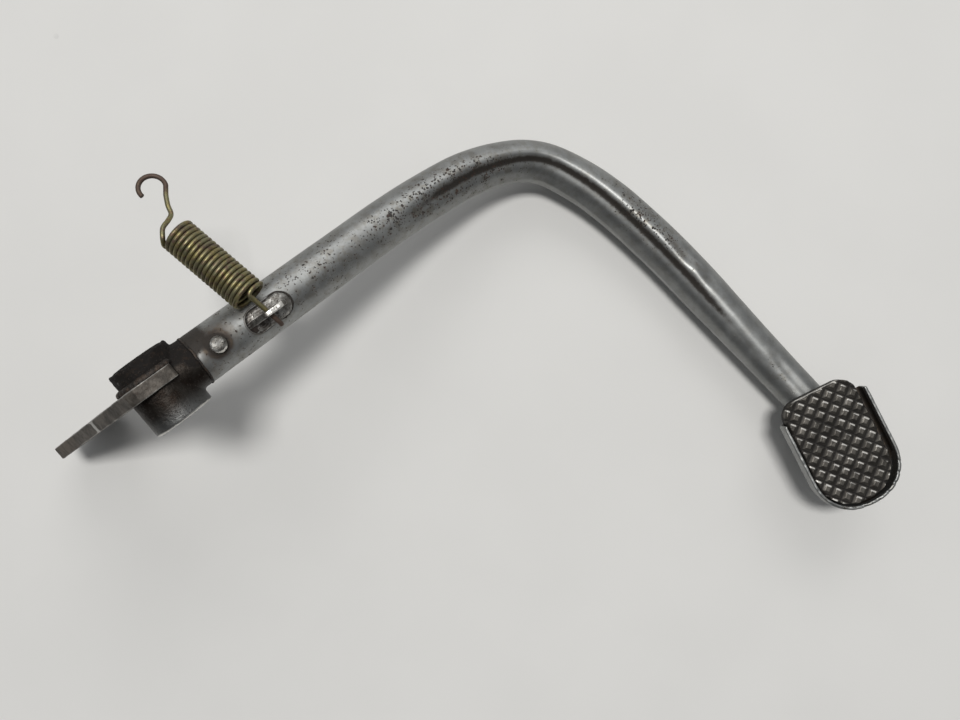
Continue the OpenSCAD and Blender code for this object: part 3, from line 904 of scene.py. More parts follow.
class BuildHub(Builder):
    """The T-shaped hub: barrel, neck and the spigot inside the tube, with its seam weld"""

    bl_idname = "pedal.build_hub"
    bl_label = "Pivot hub"

    def build(self, context):
        hub, line = sizes(context, "hub_sizes"), arm_line(context)
        outer, bore, half = barrel_radius(context), BORE["dims"]["r_mm"], BORE["dims"]["length_mm"] / 2
        mid, r, start = hub["offset"], line.r, line.arm["start"]
        stock = Solid.turned([(outer - 0.6, mid - half), (outer, mid - half + 0.6), (outer, mid + half - 0.3),
                              (outer - 0.3, mid + half)], 1)
        stock.join(Solid.turned([(r, 0), (r, start - 0.5), (r - 0.4, start - 0.06)], 0))
        spigot = r - line.arm["wall"] - 0.1
        stock.join(Solid.turned([(spigot, 1), (spigot, start + hub["spigot"] - 0.8),
                                 (spigot - 0.8, start + hub["spigot"])], 0))
        stock.cut(Solid.rod(bore, mid - 30, mid + 30, 1))
        stock.cut(rivet_bore(hub))
        stock.fine(0.36, 4)
        points, normals = stock.arrays()
        x, y = points[:, 0], points[:, 1]
        radial = np.hypot(x, points[:, 2])
        outside = smooth((radial - bore - 0.8) / 0.8) * smooth((start + 0.3 - x) / 0.5)
        rough = wave(points, 3.2, 1) * 0.16 + wave(points, 1.1, 2, 2) * 0.06
        burnt = smooth((y - mid - 1.5) / 4)
        push = rough * (0.35 + 0.8 * burnt) - 0.12
        points = points + normals * (push * outside)[:, None]
        # The scorched end is eaten away in scallops
        end = smooth((y - (mid + half - 2.2)) / 2.0)
        ragged = np.clip(wave(points * [1, 0, 1], 4.0, 5, 3) * 0.9 + 0.35, 0, 1.3)
        points[:, 1] -= end * ragged * outside
        mesh = stock.done(points, "pivot_hub_body")
        scorch = smooth((y - mid - 0.5) / 5.5)
        scorch = np.maximum(scorch, smooth((x - 8.5) / 4) * smooth((y + 4.5) / 5))
        scorch = np.maximum(scorch, 0.35 * smooth((-points[:, 2] - 2) / 6))
        wear_and_painted_light = 0.95 * bump(y - (mid - half), 0.9)
        wear_and_painted_light = wear_and_painted_light + 0.35 * bump(radial - outer, 0.6) * bump(y - (mid + half), 1.0)
        wear_and_painted_light = wear_and_painted_light + 0.7 * bump(np.linalg.norm(points - [-10.2, 8.5, 5.0], axis=1), 1.8)
        # Painted highlight: a band on the upper side of the barrel, near its clean end, is made bright
        wear_and_painted_light = wear_and_painted_light + 0.45 * bump(y - (mid - half) - 5, 5) * smooth((points[:, 2] + 2) / 6) * (x < 9)
        mark(mesh, "scorch", np.clip(scorch, 0, 1))
        mark(mesh, "clean", np.clip(smooth((mid - half + 7.5 - y) / 7), 0, 1))
        mouth = 0.5 * bump(radial - bore, 0.5) * bump(np.abs(y - mid) - half, 0.8)
        mark(mesh, "edge", np.clip(wear_and_painted_light * outside + mouth, 0, 1))
        finish_piece("pivot_hub_body", mesh, "pedal", burnt_steel(context), ["pivot_hub"], 180)
        self.seam(context, line)

    def seam(self, context, line):
        run = []
        for a in circle(220):
            spot = Vector((math.cos(a), math.sin(a), 0.3)) * 3.5
            size = 0.24 + 0.1 * noise.noise(spot * 3)
            shift = 0.25 * noise.noise(spot * 1.3)
            ring = []
            for b in circle(10):
                radius = line.r + 0.02 + size * 0.5 * math.sin(b)
                ring.append([line.arm["start"] - 0.1 + shift + size * 1.5 * math.cos(b),
                             radius * math.cos(a), radius * math.sin(a)])
            run.append(ring)
        mesh = bead_mesh("hub_seam_bead", [run], wrap=True)
        finish_piece("hub_seam_bead", mesh, "pedal", weld_metal(context, "seam_weld_metal"),
                     ["hub_seam_weld"], 180)


class BuildRivet(Builder):
    """The rivet through tube and spigot, with a peened head on each side"""

    bl_idname = "pedal.build_rivet"
    bl_label = "Rivet"

    def build(self, context):
        hub, line = sizes(context, "hub_sizes"), arm_line(context)
        shank, head, high = hub["rivet_d"] / 2, hub["head_d"] / 2, hub["head_h"]
        seat = line.r + 0.02
        side = [(shank, 0), (shank, seat - 0.1), (head * 0.93, seat - 0.02), (head, seat + 0.35),
                (head * 0.97, seat + 0.9), (head * 0.86, seat + 1.4), (head * 0.72, seat + high * 0.86),
                (head * 0.5, seat + high * 0.97), (head * 0.2, seat + high)]
        stock = Solid.turned([(r, -z) for r, z in side[:0:-1]] + side[1:], 2, (hub["rivet_x"], 0, 0), 64)
        stock.fine(0.16, 3)
        points, normals = stock.arrays()
        x, y, z = points[:, 0] - hub["rivet_x"], points[:, 1], np.abs(points[:, 2]) - seat
        on_head = smooth((z - 0.1) / 0.4)
        points = points + normals * (on_head * (wave(points, 1.6, 3) * 0.1 - 0.08))[:, None]
        # The hammer left the top flat and leaning
        top = seat + high * (0.93 - 0.035 * (x + y))
        points[:, 2] = np.sign(points[:, 2]) * np.minimum(np.abs(points[:, 2]), top)
        mesh = stock.done(points, "rivet_body")
        r = np.hypot(x, y)
        # Painted highlight: the head's rim is made bright on one side only
        edge = bump(r - head * 0.86, 0.42) * smooth((-x * 0.8 - y * 0.6 + 1.2) / 2.2) * on_head
        mark(mesh, "edge", np.clip(edge * 1.2, 0, 1))
        mark(mesh, "rust", np.clip(smooth((0.7 - z) / 0.6) + 0.3 * bump(r, 1.8), 0, 1))
        finish_piece("rivet_body", mesh, "pedal", hammered_steel(context, "rivet_steel"),
                     ["hub_rivet"], 180)


class BuildLever(Builder):
    """The brake rod's plate lever, set over the barrel, with its fillet weld"""

    bl_idname = "pedal.build_lever"
    bl_label = "Brake rod lever"

    def build(self, context):
        hub, line = sizes(context, "hub_sizes"), arm_line(context)
        outer = barrel_radius(context)
        hole = to_pedal(ROD_HOLE["pos_m"])
        thick, end_r, y0 = ROD_HOLE["dims"]["length_mm"], hub["lever_end_r"], hub["lever_y"]
        top = outer + 2
        outline = [(6.4, 0), (6.4, top - 1), (5.4, top), (-8, top), (-11, top - 2.5), (-24.5, -26)]
        outline += [(hole[0] + end_r * math.cos(a), hole[2] + end_r * math.sin(a))
                    for a in np.radians(np.linspace(168, 376, 41))]
        outline += [(9, -14), (10, -2)]
        stock = Solid.plate(outline, y0, thick)
        stock.cut(Solid.rod(outer + 0.02, -30, 30, 1))
        stock.cut(Solid.rod(line.r + 0.05, 0, 30, 0))
        stock.bevel(0.55)
        rod = ROD_HOLE["dims"]["r_mm"]
        stock.cut(Solid.rod(rod, -30, 30, 1, (hole[0], 0, hole[2])))
        stock.fine(0.36, 2)
        points, normals = stock.arrays()
        y = points[:, 1] - y0
        inner = smooth((np.hypot(points[:, 0] - hole[0], points[:, 2] - hole[2]) - rod - 0.3) / 0.8)
        push = wave(points, 4.5, 7) * 0.09 + wave(points, 1.3, 8, 2) * 0.04 - 0.07
        # The round end is flame cut and left rough
        rough_end = smooth((-points[:, 2] - 45) / 8)
        push = push + rough_end * wave(points, 1.8, 11, 2) * 0.1
        points = points + normals * (push * inner)[:, None]
        mesh = stock.done(points, "rod_lever_plate")
        corner = bump(np.abs(y) - thick / 2 + 0.25, 0.36) * (np.abs(normals[:, 1]) < 0.93)
        # Painted highlight: a bright line along the ridge where the top edge meets the cut end
        ridge = bump(points[:, 2] + 26, 1.3) * (np.abs(normals[:, 1]) < 0.6)
        mark(mesh, "edge", np.clip(0.6 * corner + 1.2 * ridge, 0, 1))
        mark(mesh, "rust", np.clip(0.8 * rough_end + 0.25 * smooth((points[:, 2] + 5) / 8), 0, 1))
        finish_piece("rod_lever_plate", mesh, "pedal", dull_plate(context), ["rod_lever"], 180)
        self.weld(context, outer, y0 + thick / 2)

    def weld(self, context, outer, seat):
        """A fillet over half way round the barrel: a swollen front, and flat sides just off the steel."""
        rings, off, run = 150, 0.03, []
        for i in range(rings):
            a = math.radians(52 + 221 * i / (rings - 1))
            spot = Vector((math.cos(a), math.sin(a), 0.7)) * outer
            taper = 1 - bump(i, 2) * 0.6 - bump(i - rings + 1, 2) * 0.6
            size = (2.0 + 0.3 * noise.noise(spot * 0.35)) * taper + 0.1 * math.sin(i * 1.15)
            section = []
            for b in np.arange(10) * math.pi / 2 / 9:
                swell = size * (0.86 + 0.1 * math.sin(2 * b))
                section.append((off + swell * math.sin(b), off + swell * math.cos(b)))
            section += [(off, off), (off, size * 0.5)]
            run.append([[(outer + out) * math.cos(a), seat + along, (outer + out) * math.sin(a)]
                        for along, out in section])
        mesh = bead_mesh("lever_weld_bead", [run])
        finish_piece("lever_weld_bead", mesh, "pedal", weld_metal(context, "lever_weld_metal"),
                     ["lever_weld"], 60)


class SpringFrame:
    """Places spring points: origin in the hook hole, Z along the coil, Y down towards the tube."""

    def __init__(self, context):
        self.s = sizes(context, "spring_sizes")
        self.hole = to_pedal(HOOK_HOLE)
        z = to_pedal(COIL_AXIS * MM)
        y = to_pedal(Vector(mounts["spring_anchor"]["axis"]) * MM)
        self.turn = np.array([np.cross(y, z), y, z]).T
        self.coil_r = (self.s["coil_od"] - self.s["wire"]) / 2
        self.pitch = self.s["wire"] + self.s["gap"]
        self.turns = self.s["turns"] + 0.5
        self.coil_end = self.s["leg"] + self.turns * self.pitch

    def place(self, points):
        return np.asarray(points) @ self.turn.T + self.hole


class BuildLug(Builder):
    """The spring's lug: a curved foot in two lobes and an upright fin with the hook hole"""

    bl_idname = "pedal.build_lug"
    bl_label = "Spring lug"

    def build(self, context):
        s, line = sizes(context, "spring_sizes"), arm_line(context)
        hole = to_pedal(HOOK_HOLE)
        mid, y0 = hole[0] + 1.6, hole[1]
        half_l, half_w = s["foot_len"] / 2, s["foot_w"] / 2
        rows, cols = 60, 40

        def spread(u, v):
            """A point of the stadium for u, v in a square from -1 to 1."""
            w = half_w * v
            straight = half_l - half_w
            return u * (straight + math.sqrt(max(0.0, half_w ** 2 - w ** 2))), w

        top, under = [], []
        for i in range(rows):
            for j in range(cols):
                u, v = -1 + 2 * i / (rows - 1), -1 + 2 * j / (cols - 1)
                x, w = spread(u, v * 0.999)
                rho = max(abs(u), abs(v))
                # Two cushions with a dip along the middle
                swell = (1 - rho ** 6) ** 0.5
                thick = 0.3 + 1.25 * swell - 0.3 * bump(w, 1.6) * (1 - 0.5 * rho)
                a = (y0 + w) / line.r
                r = line.r + 0.04
                out = r + thick
                top.append([mid + x, out * math.sin(a), out * math.cos(a)])
                under.append([mid + x, r * math.sin(a), r * math.cos(a)])
        grid, rim = grid_faces(rows, cols)
        total = rows * cols
        faces = grid + [tuple(total + k for k in f[::-1]) for f in grid]
        faces += [(a, b, total + b, total + a) for a, b in pairs(rim)]
        stock = Solid(np.array(top + under), faces)
        hole_r, lift = s["hole_d"] / 2, hole[2]
        low = line.r + 0.9
        eye = hole_r + 1.9
        outline = [(hole[0] - 6.6, low), (hole[0] + 8, low)]
        outline += corner(hole[0] + 3.2, lift, eye, 10, 90, 13) + corner(hole[0], lift, eye, 90, 175, 13)
        fin = Solid.plate(outline, y0, s["lug_t"]).bevel(0.3)
        fin.cut(Solid.rod(hole_r, -30, 30, 1, (hole[0], 0, hole[2]), 48))
        stock.join(fin)
        stock.fine(0.2, 2)
        points, normals = stock.arrays()
        over = smooth((np.hypot(points[:, 1], points[:, 2]) - line.r - 0.25) / 0.3)
        points = points + normals * (over * (wave(points, 1.7, 13) * 0.08 - 0.05))[:, None]
        mesh = stock.done(points, "spring_lug_body")
        height = np.hypot(points[:, 1], points[:, 2]) - line.r
        # Painted highlight: the fin's crest is made bright on its right part only
        crest = smooth((points[:, 2] - lift - hole_r - 0.9) / 0.8)
        edge = crest * (points[:, 0] > hole[0] - 4) + 0.5 * smooth((height - 1.1) / 0.3) * (height < 2.2)
        mark(mesh, "edge", np.clip(edge, 0, 1))
        # Darker near the tube at the foot's right end and beside one face of the fin, with streaks on the
        # left part
        right = smooth((points[:, 0] - mid - 1) / 3)
        darkening = smooth((0.75 - height) / 0.5) * right + 0.5 * bump(points[:, 1] - y0 + 1.9, 0.9) * (height < 3)
        streak = 0.5 + 0.5 * np.sin(points[:, 1] * 7 + wave(points, 2.5, 17) * 3)
        darkening = darkening + (0.3 + 0.5 * streak) * (1 - right) * (height < 2.4)
        mark(mesh, "rust", np.clip(darkening, 0, 1))
        finish_piece("spring_lug_body", mesh, "pedal", hammered_steel(context, "lug_steel"),
                     ["spring_lug"], 180)
        self.weld(context, line, mid, y0, half_l, half_w)

    def weld(self, context, line, mid, y0, half_l, half_w):
        """A thin bead round the foot's stadium, laid on the tube."""
        straight = half_l - half_w
        around = 4 * straight + 2 * math.pi * half_w
        rings, run = 240, []
        for i in range(rings):
            d = around * i / rings
            if d < 2 * straight:
                x, w, nx, nw = straight - d, half_w, 0, 1
            elif d < 2 * straight + math.pi * half_w:
                a = math.pi / 2 + (d - 2 * straight) / half_w
                nx, nw = math.cos(a), math.sin(a)
                x, w = half_w * nx - straight, half_w * nw
            elif d < 4 * straight + math.pi * half_w:
                x, w, nx, nw = -straight + (d - 2 * straight - math.pi * half_w), -half_w, 0, -1
            else:
                a = -math.pi / 2 + (d - 4 * straight - math.pi * half_w) / half_w
                nx, nw = math.cos(a), math.sin(a)
                x, w = half_w * nx + straight, half_w * nw
            size = 0.27 + 0.1 * noise.noise(Vector((x, w, 3.1)) * 0.9)
            ring = []
            for b in circle(8):
                off = 0.3 + size * 1.2 * math.cos(b)
                r = line.r + 0.04 + max(0, 0.22 + size * 0.75 * math.sin(b))
                a = (y0 + w + nw * off) / line.r
                ring.append([mid + x + nx * off, r * math.sin(a), r * math.cos(a)])
            run.append(ring)
        mesh = bead_mesh("spring_lug_bead", [run], wrap=True)
        away = np.array(run).reshape(-1, 3)[:, 0] - mid
        mark(mesh, "pits", np.full(len(away), 0.5))
        mark(mesh, "rust", 0.3 + 0.3 * smooth(-away / 4))
        mark(mesh, "soot", 0.9 * smooth((away - 1) / 3))
        finish_piece("spring_lug_bead", mesh, "pedal", plated_steel(context, "lug_weld_metal"),
                     ["lug_weld"], 180)


class BuildSpring(Builder):
    """The return spring: its coil, and its two hooks, each on a body of its own"""

    bl_idname = "pedal.build_spring"
    bl_label = "Return spring"

    # The hooks leave the coil's cut ends by this much
    GAP = 0.12

    def wire(self, f, name, body, path, covers, wear_and_painted_light, zinc):
        points, faces = swept(path, f.s["wire"] / 2)
        mesh = outward_mesh(name, to_row(f.place(points)), faces)
        mark(mesh, "rust", np.clip(wear_and_painted_light(points), 0, 1))
        return finish_piece(name, mesh, body, zinc, covers, 60)

    def build(self, context):
        f = SpringFrame(context)
        zinc = yellow_zinc(context)
        self.coil(f, zinc)
        self.lug_hook(f, zinc)
        self.frame_hook(f, zinc)

    def coil(self, f, zinc, steps=40):
        path = []
        for i in range(int(f.turns * steps) + 1):
            t = i / steps
            a = 2 * math.pi * t
            path.append([f.coil_r * math.cos(a), f.coil_r * math.sin(a), f.s["leg"] + f.pitch * t])
        piece = self.wire(f, "spring_coil_wire", None, path, ["spring_coil"],
                          lambda p: 0.3 + 0.4 * wave(p, 6, 21), zinc)
        start, stop = to_row(f.place([[0, 0, f.s["leg"] - 0.5], [0, 0, f.coil_end + 0.5]]))
        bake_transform(piece)

    def lug_hook(self, f, zinc):
        """From the coil's rim in to its axis, then down through the hole and round under the lug."""
        c, leg = f.coil_r, f.s["leg"]
        path = run_through([(c, -self.GAP, leg), (c * 0.985, -0.18 * c, leg - 0.1),
                            (c * 0.84, -0.52 * c, leg - 0.4), (c * 0.5, -0.78 * c, leg - 0.5),
                            (c * 0.12, -0.86 * c, leg - 0.6), (-c * 0.14, -0.76 * c, leg - 1.3),
                            (-c * 0.11, -0.55 * c, leg * 0.68), (-c * 0.05, -0.27 * c, leg * 0.34),
                            (0, 0, 0), (c * 0.05, 0.27 * c, -leg * 0.34),
                            (c * 0.08, 0.44 * c, -4.3), (c * 0.1, 0.66 * c, -4.9)], 9)
        # Painted shade: the hook's wire is darkened from the hole onwards, where it runs under the fin
        self.wire(f, "spring_lug_hook_wire", "return_spring", path, ["spring_lug_hook"],
                  lambda p: 0.85 * smooth((1.0 - p[:, 2]) / 3) + 0.15, zinc)

    def frame_hook(self, f, zinc):
        """Across the coil's end, out to one side, and round in the open ring."""
        c, end, r = f.coil_r, f.coil_end, f.s["hook_r"]
        out = end + 17.5
        path = run_through([(-c, -self.GAP, end), (-c * 0.985, -0.18 * c, end + 0.1),
                            (-c * 0.8, -0.5 * c, end + 1.1), (-c * 0.36, -0.5 * c, end + 3.4),
                            (c * 0.27, -0.2 * c, end + 4.9), (c * 0.72, 0, end + 6.4),
                            (c, 0, end + 9.4), (c * 1.4, 0, end + 12.5)], 9)
        path += [np.array([r + 2.2 + r * math.cos(a), 0, out + r * math.sin(a)])
                 for a in np.radians(np.arange(-32, 183.1, 4))]
        self.wire(f, "spring_frame_hook_wire", "frame_hook", path, ["spring_frame_hook"],
                  lambda p: 0.8 * smooth((p[:, 2] - out + 7) / 4) + 0.15, zinc)


class PadFrame:
    """Places pad points: origin on the tube under the pad, Z out of the tread, Y to the heel."""

    def __init__(self, context):
        self.p, self.line = sizes(context, "pad_sizes"), arm_line(context)
        x, w, _ = self.line.at(self.line.bend_end + self.p["reach"])
        self.matrix = (Matrix.Rotation(-self.line.arm["tilt"], 4, "X") @ Matrix.Translation((x, -w, 0))
                       @ Matrix.Rotation(self.p["roll"], 4, "Y") @ Matrix.Rotation(math.radians(2), 4, "X")
                       @ Matrix.Rotation(self.p["yaw"], 4, "Z")
                       @ Matrix.Translation((self.p["side"], 0, self.line.arm["end_half_h"])))

    def place(self, points):
        m = np.array(self.matrix)
        return np.asarray(points) @ m[:3, :3].T + m[:3, 3]


def pad_outline(half_w, heel, toe, r, inset=0.0):
    """Straight heel, straight sides and a round, slightly squared toe."""
    half, heel, toe = half_w - inset, heel - inset, toe + inset
    r = max(0.2, r - inset)
    out = corner(half - r, heel - r, r, 0, 90) + corner(-half + r, heel - r, r, 90, 180)
    for a in np.radians(np.linspace(180, 360, 61)):
        x, y = math.cos(a), math.sin(a)
        squared = [math.copysign(abs(v) ** 0.88, v) for v in (x, y)]
        out.append((half * squared[0], toe + half + half * squared[1]))
    return out


# Where the toes and middles of tray and tread lie in the pad's frame, in millimetres
TRAY_TOE, TREAD_TOE, TRAY_SIDE, TREAD_SIDE = -28.9, -26.4, 0.7, -0.2
# How far the tread's rows are turned, and the flat top of each point
POINT_TURN, POINT_FLAT = math.radians(42), 1.85


def inside_wall(points, half):
    """Whether a pad point is well inside the tray's outer wall."""
    x, y = points[:, 0] - TRAY_SIDE, points[:, 1]
    toe_y = TRAY_TOE + half
    reach = np.where(y > toe_y, np.abs(x), np.hypot(x, y - toe_y))
    return reach < half - 1.2


def run_along(rings, reach):
    """Even places from -reach to reach."""
    return [-reach + 2 * reach * i / (rings - 1) for i in range(rings)]


def half_width(outline, y):
    """The widest an outline gets at one y, from its middle."""
    crossings = [abs(x1 + (x2 - x1) * (y - y1) / (y2 - y1)) for (x1, y1), (x2, y2) in pairs(outline)
                 if (y1 - y) * (y2 - y) <= 0 and y1 != y2]
    return max(crossings, default=0.0)


class BuildPad(Builder):
    """The foot pad: the pressed tray, the tread plate with its rows of points, and their welds"""

    bl_idname = "pedal.build_pad"
    bl_label = "Foot pad"

    # Spacing of the tread's vertices, in millimetres
    STEP = 0.21

    def build(self, context):
        pad = PadFrame(context)
        for part in (self.tray, self.tread, self.welds):
            part(context, pad, pad.p)

    def tray(self, context, pad, p):
        half, heel, sheet, high = p["width"] / 2, TRAY_TOE + p["length"], p["sheet"], p["height"]
        levels = [(0.06, 1.9), (0.25, 1.05), (0.7, 0.45), (1.3, 0.14), (2.1, 0.0), (high - 0.45, 0.0),
                  (high - 0.1, 0.15), (high + 0.03, 0.5)]
        shift = np.array([TRAY_SIDE, 0, 0])
        corner_r = 1.2
        stock = Solid.stacked([(pad_outline(half, heel, TRAY_TOE, corner_r, i), z) for z, i in levels],
                              lambda q: q + shift)
        hollow = [(high + 2, 1.25), (high + 0.05, 1.3), (high - 0.3, 1.6), (high - 0.8, sheet),
                  (sheet + 1.3, sheet), (sheet + 0.5, sheet + 0.35), (sheet, sheet + 1.1)]
        # The hollow runs out past the heel, which has no wall
        hollow = [(pad_outline(half, heel + 20, TRAY_TOE, corner_r, i), z) for z, i in hollow[::-1]]
        stock.cut(Solid.stacked(hollow, lambda q: q + shift))
        stock.fine(0.34, 2)
        points, normals = stock.arrays()
        rim = smooth((points[:, 2] - high + 1.2) / 0.8)
        push = wave(points, 6, 31) * 0.08 + rim * wave(points, 2.4, 33) * 0.1 - 0.08
        # The toe's rim is nicked where the rows of the tread were rolled over it
        toe = smooth((-points[:, 1] - 14) / 5)
        across = points[:, 0] * math.cos(POINT_TURN) + points[:, 1] * math.sin(POINT_TURN)
        nicks = rim * toe * np.clip(np.sin(across * 2 * math.pi / p["pitch"]), 0, 1) ** 3
        points = points + normals * push[:, None]
        points[:, 2] -= 0.35 * nicks
        mesh = stock.done(pad.place(points), "pad_tray_shell")
        lower = smooth((high - 1.2 - points[:, 2]) / 1.6)
        # Painted shade: the inside of the tray's wall, below the rim, is browned through the rust mark
        inside = lower * (points[:, 2] > sheet - 0.4) * inside_wall(points, half)
        mark(mesh, "pits", np.clip(0.25 + 0.4 * rim * toe, 0, 1))
        mark(mesh, "rust", np.clip(0.85 * inside + 0.2 * smooth(-points[:, 2] + 1), 0, 1))
        finish_piece("pad_tray_shell", mesh, "pedal", plated_steel(context, "tray_plating"),
                     ["pad_tray"], 180)

    def tread(self, context, pad, p):
        half, heel, toe = p["tread_w"] / 2, TREAD_TOE + p["tread_len"], TREAD_TOE
        low, top = p["sheet"] + 0.04, p["sheet"] + 0.04 + p["tread_t"]
        outline = pad_outline(half, heel, toe, 7.0)
        rows, cols = int(p["tread_len"] / self.STEP), int(p["tread_w"] / self.STEP)
        ys = np.linspace(toe + 0.02, heel - 0.02, rows)
        widths = np.array([[half_width(outline, y)] for y in ys])
        x = widths * np.linspace(-1, 1, cols)
        y = np.repeat(ys[:, None], cols, 1)
        # Each point is a low square stud between two sets of grooves
        slope = 1 - POINT_FLAT / p["pitch"]
        valleys, sides = [], []
        for a in (POINT_TURN, POINT_TURN + math.pi / 2):
            across = (-(x + TREAD_SIDE) * math.sin(a) + y * math.cos(a)) / p["pitch"] % 1 - 0.5
            valleys.append(np.clip(1 - (1 - 2 * np.abs(across)) / slope, 0, 1))
            sides.append(np.sign(across))
        height = np.maximum(*valleys)
        flat = np.stack([x.ravel(), y.ravel(), np.zeros(x.size)], 1)
        uneven = wave(flat, 7, 41).reshape(x.shape)
        fine = wave(flat, 1.2, 43, 2).reshape(x.shape)
        edge_gap = np.minimum(widths - np.abs(x), np.minimum(y - toe, heel - y))
        rounding = 0.7 * np.clip(1 - edge_gap / 0.8, 0, 1) ** 2
        z = top - p["groove"] * height - 0.06 * (uneven + 1) - 0.03 * fine - rounding
        z = np.minimum(z, top - 0.05)
        grid_top = np.stack([x, y, z], 2).reshape(-1, 3)
        grid_low = np.stack([x, y, np.full_like(x, low)], 2).reshape(-1, 3)
        total = rows * cols
        grid, loop = grid_faces(rows, cols)
        under = {k: total + n for n, k in enumerate(loop)}
        points = np.concatenate([grid_top, grid_low[loop]]) + [TREAD_SIDE, 0, 0]
        faces = grid + [(a, b, under[b], under[a]) for a, b in pairs(loop)]
        faces.append(tuple(total + n for n in range(len(loop)))[::-1])
        mesh = outward_mesh("tread_plate_points", to_row(pad.place(points)), faces)
        deep = np.concatenate([height.ravel(), np.full(len(loop), 1.0)])
        # Painted glints: the studs' shoulders on the heel side are made bright, and less so on the inner side
        def shoulder(k, side):
            on = smooth(valleys[k] / 0.12) * smooth((0.8 - valleys[k]) / 0.3) * (sides[k] == side)
            return on * smooth((0.3 - valleys[1 - k]) / 0.2)

        tips = (1.1 * shoulder(1, -1) + 0.55 * shoulder(0, 1)) * (0.8 + 0.45 * uneven)
        bright = np.concatenate([np.maximum(tips, 0.9 * np.clip(1 - (heel - y) / 0.7, 0, 1)).ravel(),
                                 np.zeros(len(loop))])
        mark(mesh, "deep", deep)
        mark(mesh, "edge", np.clip(bright, 0, 1))
        finish_piece("tread_plate_points", mesh, "pedal", oily_tread(context),
                     ["tread_plate"], 24)

    def welds(self, context, pad, p):
        """A bead on each side between tube and tray, and four tacks between tray and tread."""
        weld = weld_metal(context, "pad_weld_metal")
        along_tube = Matrix.Rotation(-p["yaw"], 3, "Z")
        runs, reach, middle = [], 11, 6 + 2.1
        for side in (-1, 1):
            run = []
            for y in run_along(60, reach):
                size = 1 - 0.75 * (abs(y) / reach) ** 8 + 0.07 * math.sin(y * 4.2)
                ring = []
                for b in circle(10):
                    x = side * (middle + 1.9 * size * math.cos(b)) - p["side"]
                    z = min(-0.05, -1.5 + 1.6 * size * math.sin(b))
                    ring.append(list(along_tube @ Vector((x, y, z))))
                run.append(ring)
            runs.append(run)
        mesh = bead_mesh("pad_weld_beads", runs, place=pad.place)
        finish_piece("pad_weld_beads", mesh, "pedal", weld, ["pad_weld"], 60)
        runs, reach = [], 2.4
        for side, middle in ((-1, -8), (-1, 8), (1, -8), (1, 8)):
            run = []
            for y in run_along(20, reach):
                size = 1 - 0.7 * (abs(y) / reach) ** 6
                section = [(0.46 * size * math.cos(b), 1.9 * size * math.sin(b))
                           for b in np.arange(7) * math.pi / 2 / 6]
                run.append([[TREAD_SIDE + side * (p["tread_w"] / 2 + 0.04 + out), middle + y,
                             p["sheet"] + 0.06 + up] for out, up in section + [(0.02, 0.02)]])
            runs.append(run)
        mesh = bead_mesh("tread_tacks", runs, place=pad.place)
        finish_piece("tread_tacks", mesh, "pedal", weld, ["tread_weld"], 60)


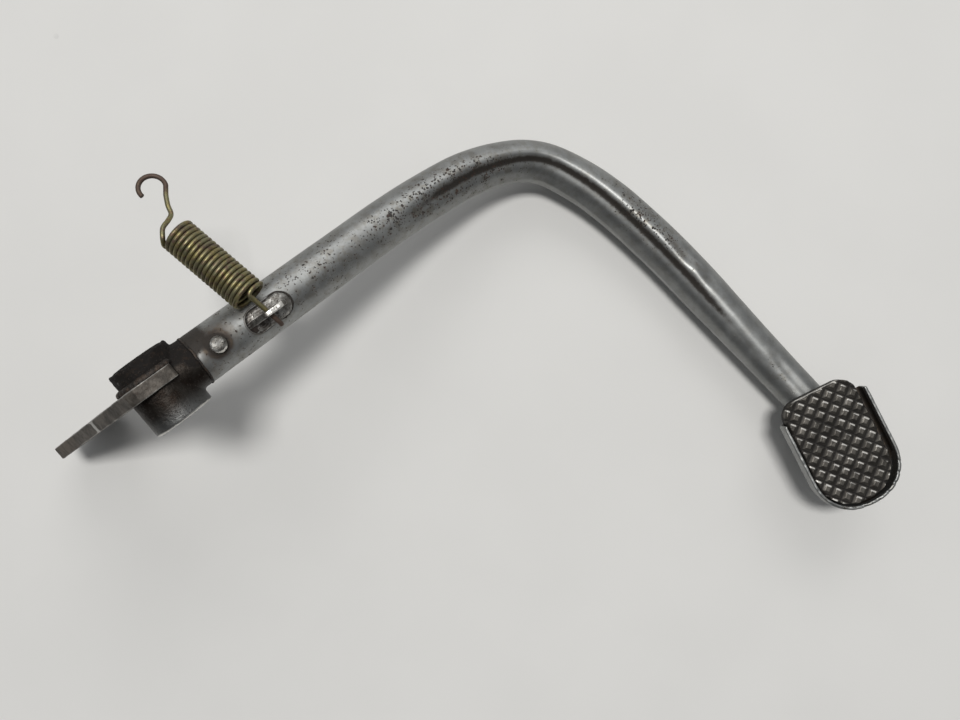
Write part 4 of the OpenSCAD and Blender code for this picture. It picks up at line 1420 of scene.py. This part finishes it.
class SetStage(Builder):
    """The pale table, the soft lights and the camera above the pedal"""

    bl_idname = "pedal.set_stage"
    bl_label = "Stage"

    # Name, place and size in metres, watts and tint
    LIGHTS = (("main_light", (0.1, 0.5, 2.8), (0.75, 0.5), 60, (1.0, 0.99, 0.97)),
              ("window_light", (0.35, 2.2, 1.5), (1.8, 1.1), 17, (1.0, 0.995, 0.98)))
    CAMERA_PLACE = (0.10856, 0.00909, 0.26291)
    SENSOR_MM, LENS_MM = 36, 29.06
    # Half the table's width, in metres
    TABLE_HALF = 3.0
    # Where the room's dark side ends and its light side starts along Y, and their brightness
    ROOM = (-0.8, 0.6, 0.12, 0.38)

    def light(self, name, place, size, power, tone):
        lamp = bpy.data.lights.new(name, "AREA")
        lamp.shape = "RECTANGLE"
        lamp.size, lamp.size_y = size
        lamp.energy = power
        lamp.color = tone
        item = new_object(name, lamp)
        item.location = place
        aim = Vector((0.1, 0.02, FLOOR_Z)) - Vector(place)
        item.rotation_euler = aim.to_track_quat("-Z", "Y").to_euler()

    def studio(self):
        """A soft grey room, darker on the side where the bench's user stands."""
        world = bpy.data.worlds.new("studio")
        world.use_nodes = True
        tree = world.node_tree
        back = tree.nodes["Background"]
        place = tree.nodes.new("ShaderNodeTexCoord")
        split = tree.nodes.new("ShaderNodeSeparateXYZ")
        level = tree.nodes.new("ShaderNodeMapRange")
        level.interpolation_type = "SMOOTHSTEP"
        for socket, value in zip(level.inputs[1:], self.ROOM):
            socket.default_value = value
        tree.links.new(place.outputs["Generated"], split.inputs[0])
        tree.links.new(split.outputs["Y"], level.inputs[0])
        tree.links.new(level.outputs[0], back.inputs[1])
        back.inputs[0].default_value = (0.96, 0.98, 1.0, 1)
        return world

    def build(self, context):
        scene = context.scene
        half, top = self.TABLE_HALF, FLOOR_Z - 0.2 * MM
        mesh = bpy.data.meshes.new("table")
        mesh.from_pydata([(-half, -half, top), (half, -half, top), (half, half, top), (-half, half, top)], [],
                         [(0, 1, 2, 3)])
        table = new_object("table", mesh)
        mesh.materials.append(table_top(context))
        scene.world = self.studio()
        for lamp in self.LIGHTS:
            self.light(*lamp)
        camera = bpy.data.cameras.new("camera")
        camera.sensor_width, camera.lens = self.SENSOR_MM, self.LENS_MM
        camera.clip_start = 0.01
        item = new_object("camera", camera)
        item.location = self.CAMERA_PLACE
        scene.camera = item
        scene.view_settings.view_transform = "Standard"
        scene.view_settings.look = "None"


class PedalPanel(bpy.types.Panel):
    """Sizes, finishes and the buttons that build each piece"""

    bl_idname = "VIEW3D_PT_brake_pedal"
    bl_label = "Brake Pedal"
    bl_space_type = "VIEW_3D"
    bl_region_type = "UI"
    bl_category = "Brake Pedal"

    def draw(self, context):
        for group in GROUPS:
            box = self.layout.box()
            box.label(text=group.replace("_", " ").capitalize())
            props = getattr(context.scene, group)
            for key in props.bl_rna.properties.keys():
                if key not in ("rna_type", "name"):
                    box.prop(props, key)
        for operator in STEPS:
            self.layout.operator(operator.bl_idname)


GROUPS = {"arm_sizes": ArmSizes, "hub_sizes": HubSizes, "spring_sizes": SpringSizes, "pad_sizes": PadSizes,
          "finishes": Finishes}
STEPS = (BuildArm, BuildHub, BuildRivet, BuildLever, BuildLug, BuildSpring, BuildPad, SetStage)


def register():
    for cls in (*GROUPS.values(), *STEPS, PedalPanel):
        bpy.utils.register_class(cls)
    for name, group in GROUPS.items():
        setattr(bpy.types.Scene, name, PointerProperty(type=group))


def unregister():
    for name in GROUPS:
        delattr(bpy.types.Scene, name)
    for cls in reversed((*GROUPS.values(), *STEPS, PedalPanel)):
        bpy.utils.unregister_class(cls)


def main():
    register()
    for step in STEPS:
        getattr(bpy.ops.pedal, step.bl_idname.split(".")[1])()


if __name__ == "__main__":
    main()
